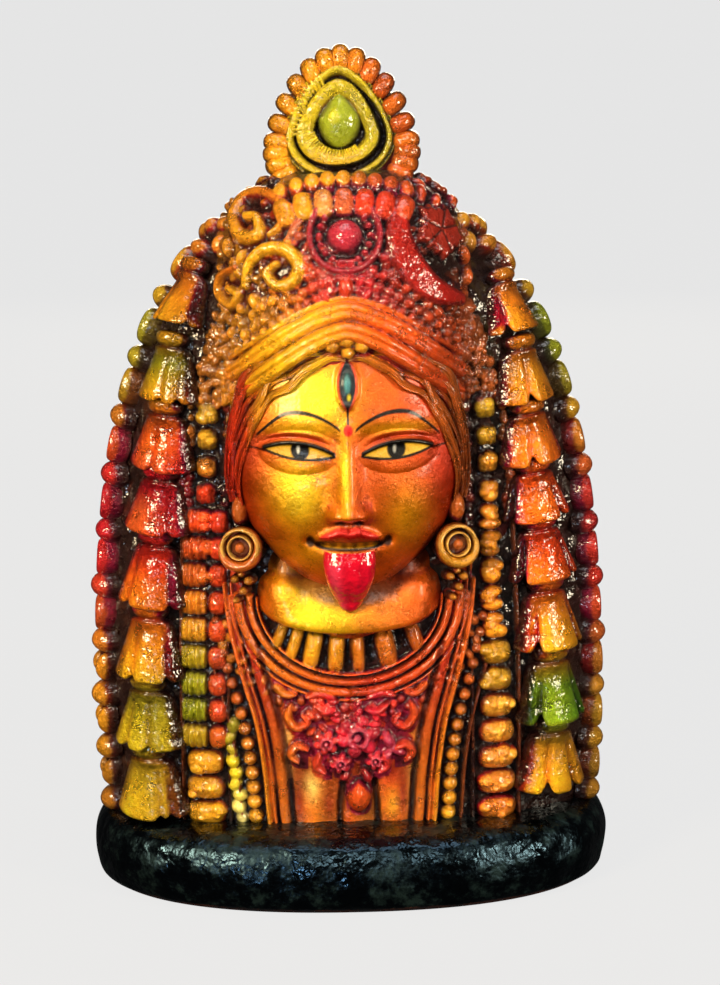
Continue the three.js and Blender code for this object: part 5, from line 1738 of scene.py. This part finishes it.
def stain_and_shade_hollows():
    """Sets how much dark staining and painted shade each point holds: more below the carving round
    it, and painted shade on sides that turn away. The carving is read as height over the bust,
    the crown or the crest's plane."""
    rows = int(HOLLOW_MAP_TOP / HOLLOW_MAP_UP) + 1
    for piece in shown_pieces():
        if "recess" not in piece.data.attributes or piece.name == "plinth":
            continue
        points, way = (np.empty(len(piece.data.vertices) * 3, np.float32) for _ in range(2))
        piece.data.vertices.foreach_get("co", points)
        piece.data.vertex_normals.foreach_get("vector", way)
        points, way = points.reshape(-1, 3) / MM, way.reshape(-1, 3)
        row = np.clip(points[:, 2] / HOLLOW_MAP_UP, 0, rows - 1).astype(int)
        if piece.name == "crest_medallion":
            column = np.clip((points[:, 0] + HOLLOW_MAP_HALF) / HOLLOW_MAP_ACROSS, 0, HOLLOW_MAP_COLUMNS - 1).astype(int)
            high, front = (points - CREST.origin) @ CREST.out, way @ CREST.out
        else:
            high, facing = over(CROWN if piece.name == "crown_panel" else BUST, points)
            front = (way[:, :2] * facing).sum(-1)
            turn = np.arctan2(points[:, 0], SET_BACK - points[:, 1])
            column = ((turn / (2 * math.pi) + 0.5) * (HOLLOW_MAP_COLUMNS - 1)).astype(int)
        share = hollows(row, column, high + HOLLOW_MAP_FLOOR, rows, HOLLOW_MAP_COLUMNS)
        # Painted shade on sides that turn away from the body's surface
        share = np.maximum(share, 0.7 * ease(0.35, -0.2, front))
        share = share * STAIN_AND_SHADE_SHARE.get(piece.name, 1)
        piece.data.attributes["recess"].data.foreach_set("value", share.astype(np.float32))


# The camera at the photograph's angle: its turns in degrees, its distance, the height it aims at,
# its lens in millimetres and how far the picture is shifted
CAMERA_YAW, CAMERA_RISE, CAMERA_ROLL = -1, 13.5, 0.8
CAMERA_AWAY = 0.6
CAMERA_AIM = 0.097
CAMERA_LENS = 92.43
CAMERA_SHIFT = (0.0142, -0.0188)
# How far the floor's flat part reaches, which is also the radius of its rise, in metres
FLOOR_REACH = 3
FLOOR_SIDES = 64
PAPER = "#E8E8E8"
# Soft lights: name, place, aim, sizes, power in watts and colour
LIGHTS = [
    ("key_left", (-0.44, -0.5, 0.38), (0, 0, 0.1), (0.2, 0.2), 7, "#FFE6B8"),
    ("fill_right", (0.54, -0.42, 0.24), (0, 0, 0.1), (0.14, 0.22), 3.6, "#FFEFD0"),
    ("front_high", (0.05, -0.66, 0.5), (0, 0, 0.1), (0.3, 0.16), 1.5, "#FFF4E0"),
    ("low_left", (-0.23, -0.62, 0.08), (0, 0, 0.02), (0.1, 0.06), 0.5, "#D8ECFF"),
    ("top_soft", (0, -0.1, 0.75), (0, 0, 0.1), (0.4, 0.3), 1.6, "#FFFFFF"),
    ("back_soft", (0.05, 0.8, 0.26), (0, 0, 0.1), (0.5, 0.2), 2.2, "#FFEFD0"),
]


def make_floor():
    """A plain pale floor that curves up far behind, lit by itself so that nothing shades it."""
    mesh = bpy.data.meshes.new("floor")
    rise = np.radians(np.linspace(0, 90, 10))[1:]
    profile = [(FLOOR_REACH, 0), *zip(FLOOR_REACH * (1 + np.sin(rise)), FLOOR_REACH * (1 - np.cos(rise)))]
    turns = [2 * math.pi * i / FLOOR_SIDES for i in range(FLOOR_SIDES)]
    points = [(reach * math.cos(turn), reach * math.sin(turn), high)
              for reach, high in profile for turn in turns]
    faces = [tuple(range(FLOOR_SIDES))]
    for ring in range(len(profile) - 1):
        for i in range(FLOOR_SIDES):
            a, b = FLOOR_SIDES * ring + i, FLOOR_SIDES * ring + (i + 1) % FLOOR_SIDES
            faces.append((a, b, b + FLOOR_SIDES, a + FLOOR_SIDES))
    mesh.from_pydata(points, [], faces)
    floor = bpy.data.objects.new("floor", mesh)
    bpy.context.scene.collection.objects.link(floor)
    floor.visible_diffuse = False
    floor.visible_glossy = False
    floor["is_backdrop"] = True
    material, tree, output = new_material("pale_paper_floor")
    skin = add_node(tree, "ShaderNodeBsdfPrincipled", None,
                    {"Base Color": rgba(linear("#303030")), "Roughness": 0.9, "Specular IOR Level": 0.0,
                     "Emission Color": rgba(linear(PAPER)), "Emission Strength": 0.97})
    tree.links.new(skin.outputs["BSDF"], output.inputs["Surface"])
    mesh.materials.append(material)


def make_lights():
    """The soft lights, and a faint even light from all round."""
    scene = bpy.context.scene
    for name, place, aim, size, power, colour in LIGHTS:
        lamp = bpy.data.lights.new(name, "AREA")
        lamp.shape = "RECTANGLE"
        lamp.size, lamp.size_y = size
        lamp.energy = power
        lamp.color = linear(colour)
        item = bpy.data.objects.new(name, lamp)
        item.location = place
        item.rotation_mode = "QUATERNION"
        item.rotation_quaternion = (Vector(aim) - Vector(place)).to_track_quat("-Z", "Y")
        scene.collection.objects.link(item)
    world = bpy.data.worlds.new("studio")
    world.use_nodes = True
    background = world.node_tree.nodes["Background"]
    background.inputs["Color"].default_value = rgba(linear(PAPER))
    background.inputs["Strength"].default_value = 0.03
    scene.world = world


def make_camera():
    """The camera, and colours shown as they are."""
    scene = bpy.context.scene
    camera = bpy.data.cameras.new("camera")
    camera.lens = CAMERA_LENS
    camera.sensor_width = 36
    camera.shift_x, camera.shift_y = CAMERA_SHIFT
    camera.clip_start, camera.clip_end = 0.01, 20
    item = bpy.data.objects.new("camera", camera)
    yaw, rise, roll = (math.radians(turn) for turn in (CAMERA_YAW, CAMERA_RISE, CAMERA_ROLL))
    back = Vector((math.sin(yaw) * math.cos(rise), -math.cos(yaw) * math.cos(rise), math.sin(rise)))
    item.location = Vector((0, SET_BACK * MM, CAMERA_AIM)) + back * CAMERA_AWAY
    turn = back.to_track_quat("Z", "Y").to_matrix().to_4x4()
    item.matrix_world = Matrix.Translation(item.location) @ turn @ Matrix.Rotation(-roll, 4, "Z")
    scene.collection.objects.link(item)
    scene.camera = item
    scene.view_settings.view_transform = "Standard"
    scene.view_settings.look = "None"


class IdolSizes(bpy.types.PropertyGroup):
    """The sizes that a user would change."""

    bell_mouth: FloatProperty(
        name="Bell mouth", description="Width of the lowest bell flower at its mouth", unit="LENGTH",
        default=19.2 * MM, min=14 * MM, max=22 * MM,
    )
    bead_pitch: FloatProperty(
        name="Bead pitch", description="Height from one bead of a string to the next", unit="LENGTH",
        default=6.45 * MM, min=4 * MM, max=9 * MM,
    )
    strand: FloatProperty(
        name="Strand", description="Width of one strand of the hair down the back", unit="LENGTH",
        default=3.1 * MM, min=1.5 * MM, max=6 * MM,
    )
    dent: FloatProperty(
        name="Dent", description="Depth of the broad dents in the plinth", unit="LENGTH",
        default=0.5 * MM, min=0, max=1 * MM,
    )


class IdolColours(bpy.types.PropertyGroup):
    """The colours that a user would change."""

    # The black at the bottom of the painted shade and staining in the hollows
    stain: FloatVectorProperty(
        name="Stain", description="Dark stain left in the hollows", subtype="COLOR", size=3, min=0, max=1,
        default=tuple(linear("#240602")),
    )
    # The grey-green of the blotches on the plinth, partly a painted sheen
    bloom_and_sheen: FloatVectorProperty(
        name="Bloom", description="Grey-green bloom on the enamel", subtype="COLOR", size=3, min=0, max=1,
        default=tuple(linear("#16211F")),
    )
    clay: FloatVectorProperty(
        name="Clay", description="Bare clay where the plinth is worn", subtype="COLOR", size=3, min=0, max=1,
        default=tuple(linear("#5A3020")),
    )


class IDOL_OT_ground(bpy.types.Operator):
    """Add the dark ground and the back hair"""

    bl_idname = "idol.ground"
    bl_label = "Ground and back hair"

    def execute(self, context):
        ground_skins()
        return {"FINISHED"}


class IDOL_OT_plinth(bpy.types.Operator):
    """Add the enamelled plinth"""

    bl_idname = "idol.plinth"
    bl_label = "Plinth"

    def execute(self, context):
        plinth()
        return {"FINISHED"}


class IDOL_OT_garlands(bpy.types.Operator):
    """Add the two garlands with their chains and strings"""

    bl_idname = "idol.garlands"
    bl_label = "Garlands"

    def execute(self, context):
        garland(-1)
        garland(1)
        return {"FINISHED"}


class IDOL_OT_crown(bpy.types.Operator):
    """Add the crown's band and carving and the crest"""

    bl_idname = "idol.crown"
    bl_label = "Crown and crest"

    def execute(self, context):
        crown_panel()
        crest()
        return {"FINISHED"}


class IDOL_OT_face(bpy.types.Operator):
    """Add the face, the tongue and the hair"""

    bl_idname = "idol.face"
    bl_label = "Face and hair"

    def execute(self, context):
        face()
        tongue()
        hair()
        return {"FINISHED"}


class IDOL_OT_dress(bpy.types.Operator):
    """Add the neck, the collar, the dress and the earrings"""

    bl_idname = "idol.dress"
    bl_label = "Dress and jewels"

    def execute(self, context):
        neck()
        dress()
        earrings()
        return {"FINISHED"}


class IDOL_OT_stain_and_shade(bpy.types.Operator):
    """Paint shade and staining into the hollows of all pieces"""

    bl_idname = "idol.stain"
    bl_label = "Stain in the hollows"

    def execute(self, context):
        stain_and_shade_hollows()
        return {"FINISHED"}


class IDOL_OT_stage(bpy.types.Operator):
    """Add the floor, the lights and the camera"""

    bl_idname = "idol.stage"
    bl_label = "Stage"

    def execute(self, context):
        make_floor()
        make_lights()
        make_camera()
        return {"FINISHED"}


class IDOL_PT_panel(bpy.types.Panel):
    """Lists the idol's pieces, sizes and colours"""

    bl_label = "Clay idol"
    bl_idname = "IDOL_PT_panel"
    bl_space_type = "VIEW_3D"
    bl_region_type = "UI"
    bl_category = "Idol"

    def draw(self, context):
        for step in STEPS:
            self.layout.operator(step.bl_idname)
        for name in IdolSizes.__annotations__:
            self.layout.prop(context.scene.idol_sizes, name)
        for name in IdolColours.__annotations__:
            self.layout.prop(context.scene.idol_colours, name)


STEPS = (
    IDOL_OT_ground,
    IDOL_OT_plinth,
    IDOL_OT_garlands,
    IDOL_OT_crown,
    IDOL_OT_face,
    IDOL_OT_dress,
    IDOL_OT_stain_and_shade,
    IDOL_OT_stage,
)
CLASSES = (IdolSizes, IdolColours, *STEPS, IDOL_PT_panel)


def register():
    """Adds the classes, and the sizes and colours to the scene."""
    for item in CLASSES:
        bpy.utils.register_class(item)
    bpy.types.Scene.idol_sizes = PointerProperty(type=IdolSizes)
    bpy.types.Scene.idol_colours = PointerProperty(type=IdolColours)


def unregister():
    """Takes them away again."""
    del bpy.types.Scene.idol_colours
    del bpy.types.Scene.idol_sizes
    for item in reversed(CLASSES):
        bpy.utils.unregister_class(item)


def main():
    """Builds all pieces and the stage."""
    register()
    bpy.ops.idol.ground()
    bpy.ops.idol.plinth()
    bpy.ops.idol.garlands()
    bpy.ops.idol.crown()
    bpy.ops.idol.face()
    bpy.ops.idol.dress()
    bpy.ops.idol.stain()
    bpy.ops.idol.stage()


if __name__ == "__main__":
    main()
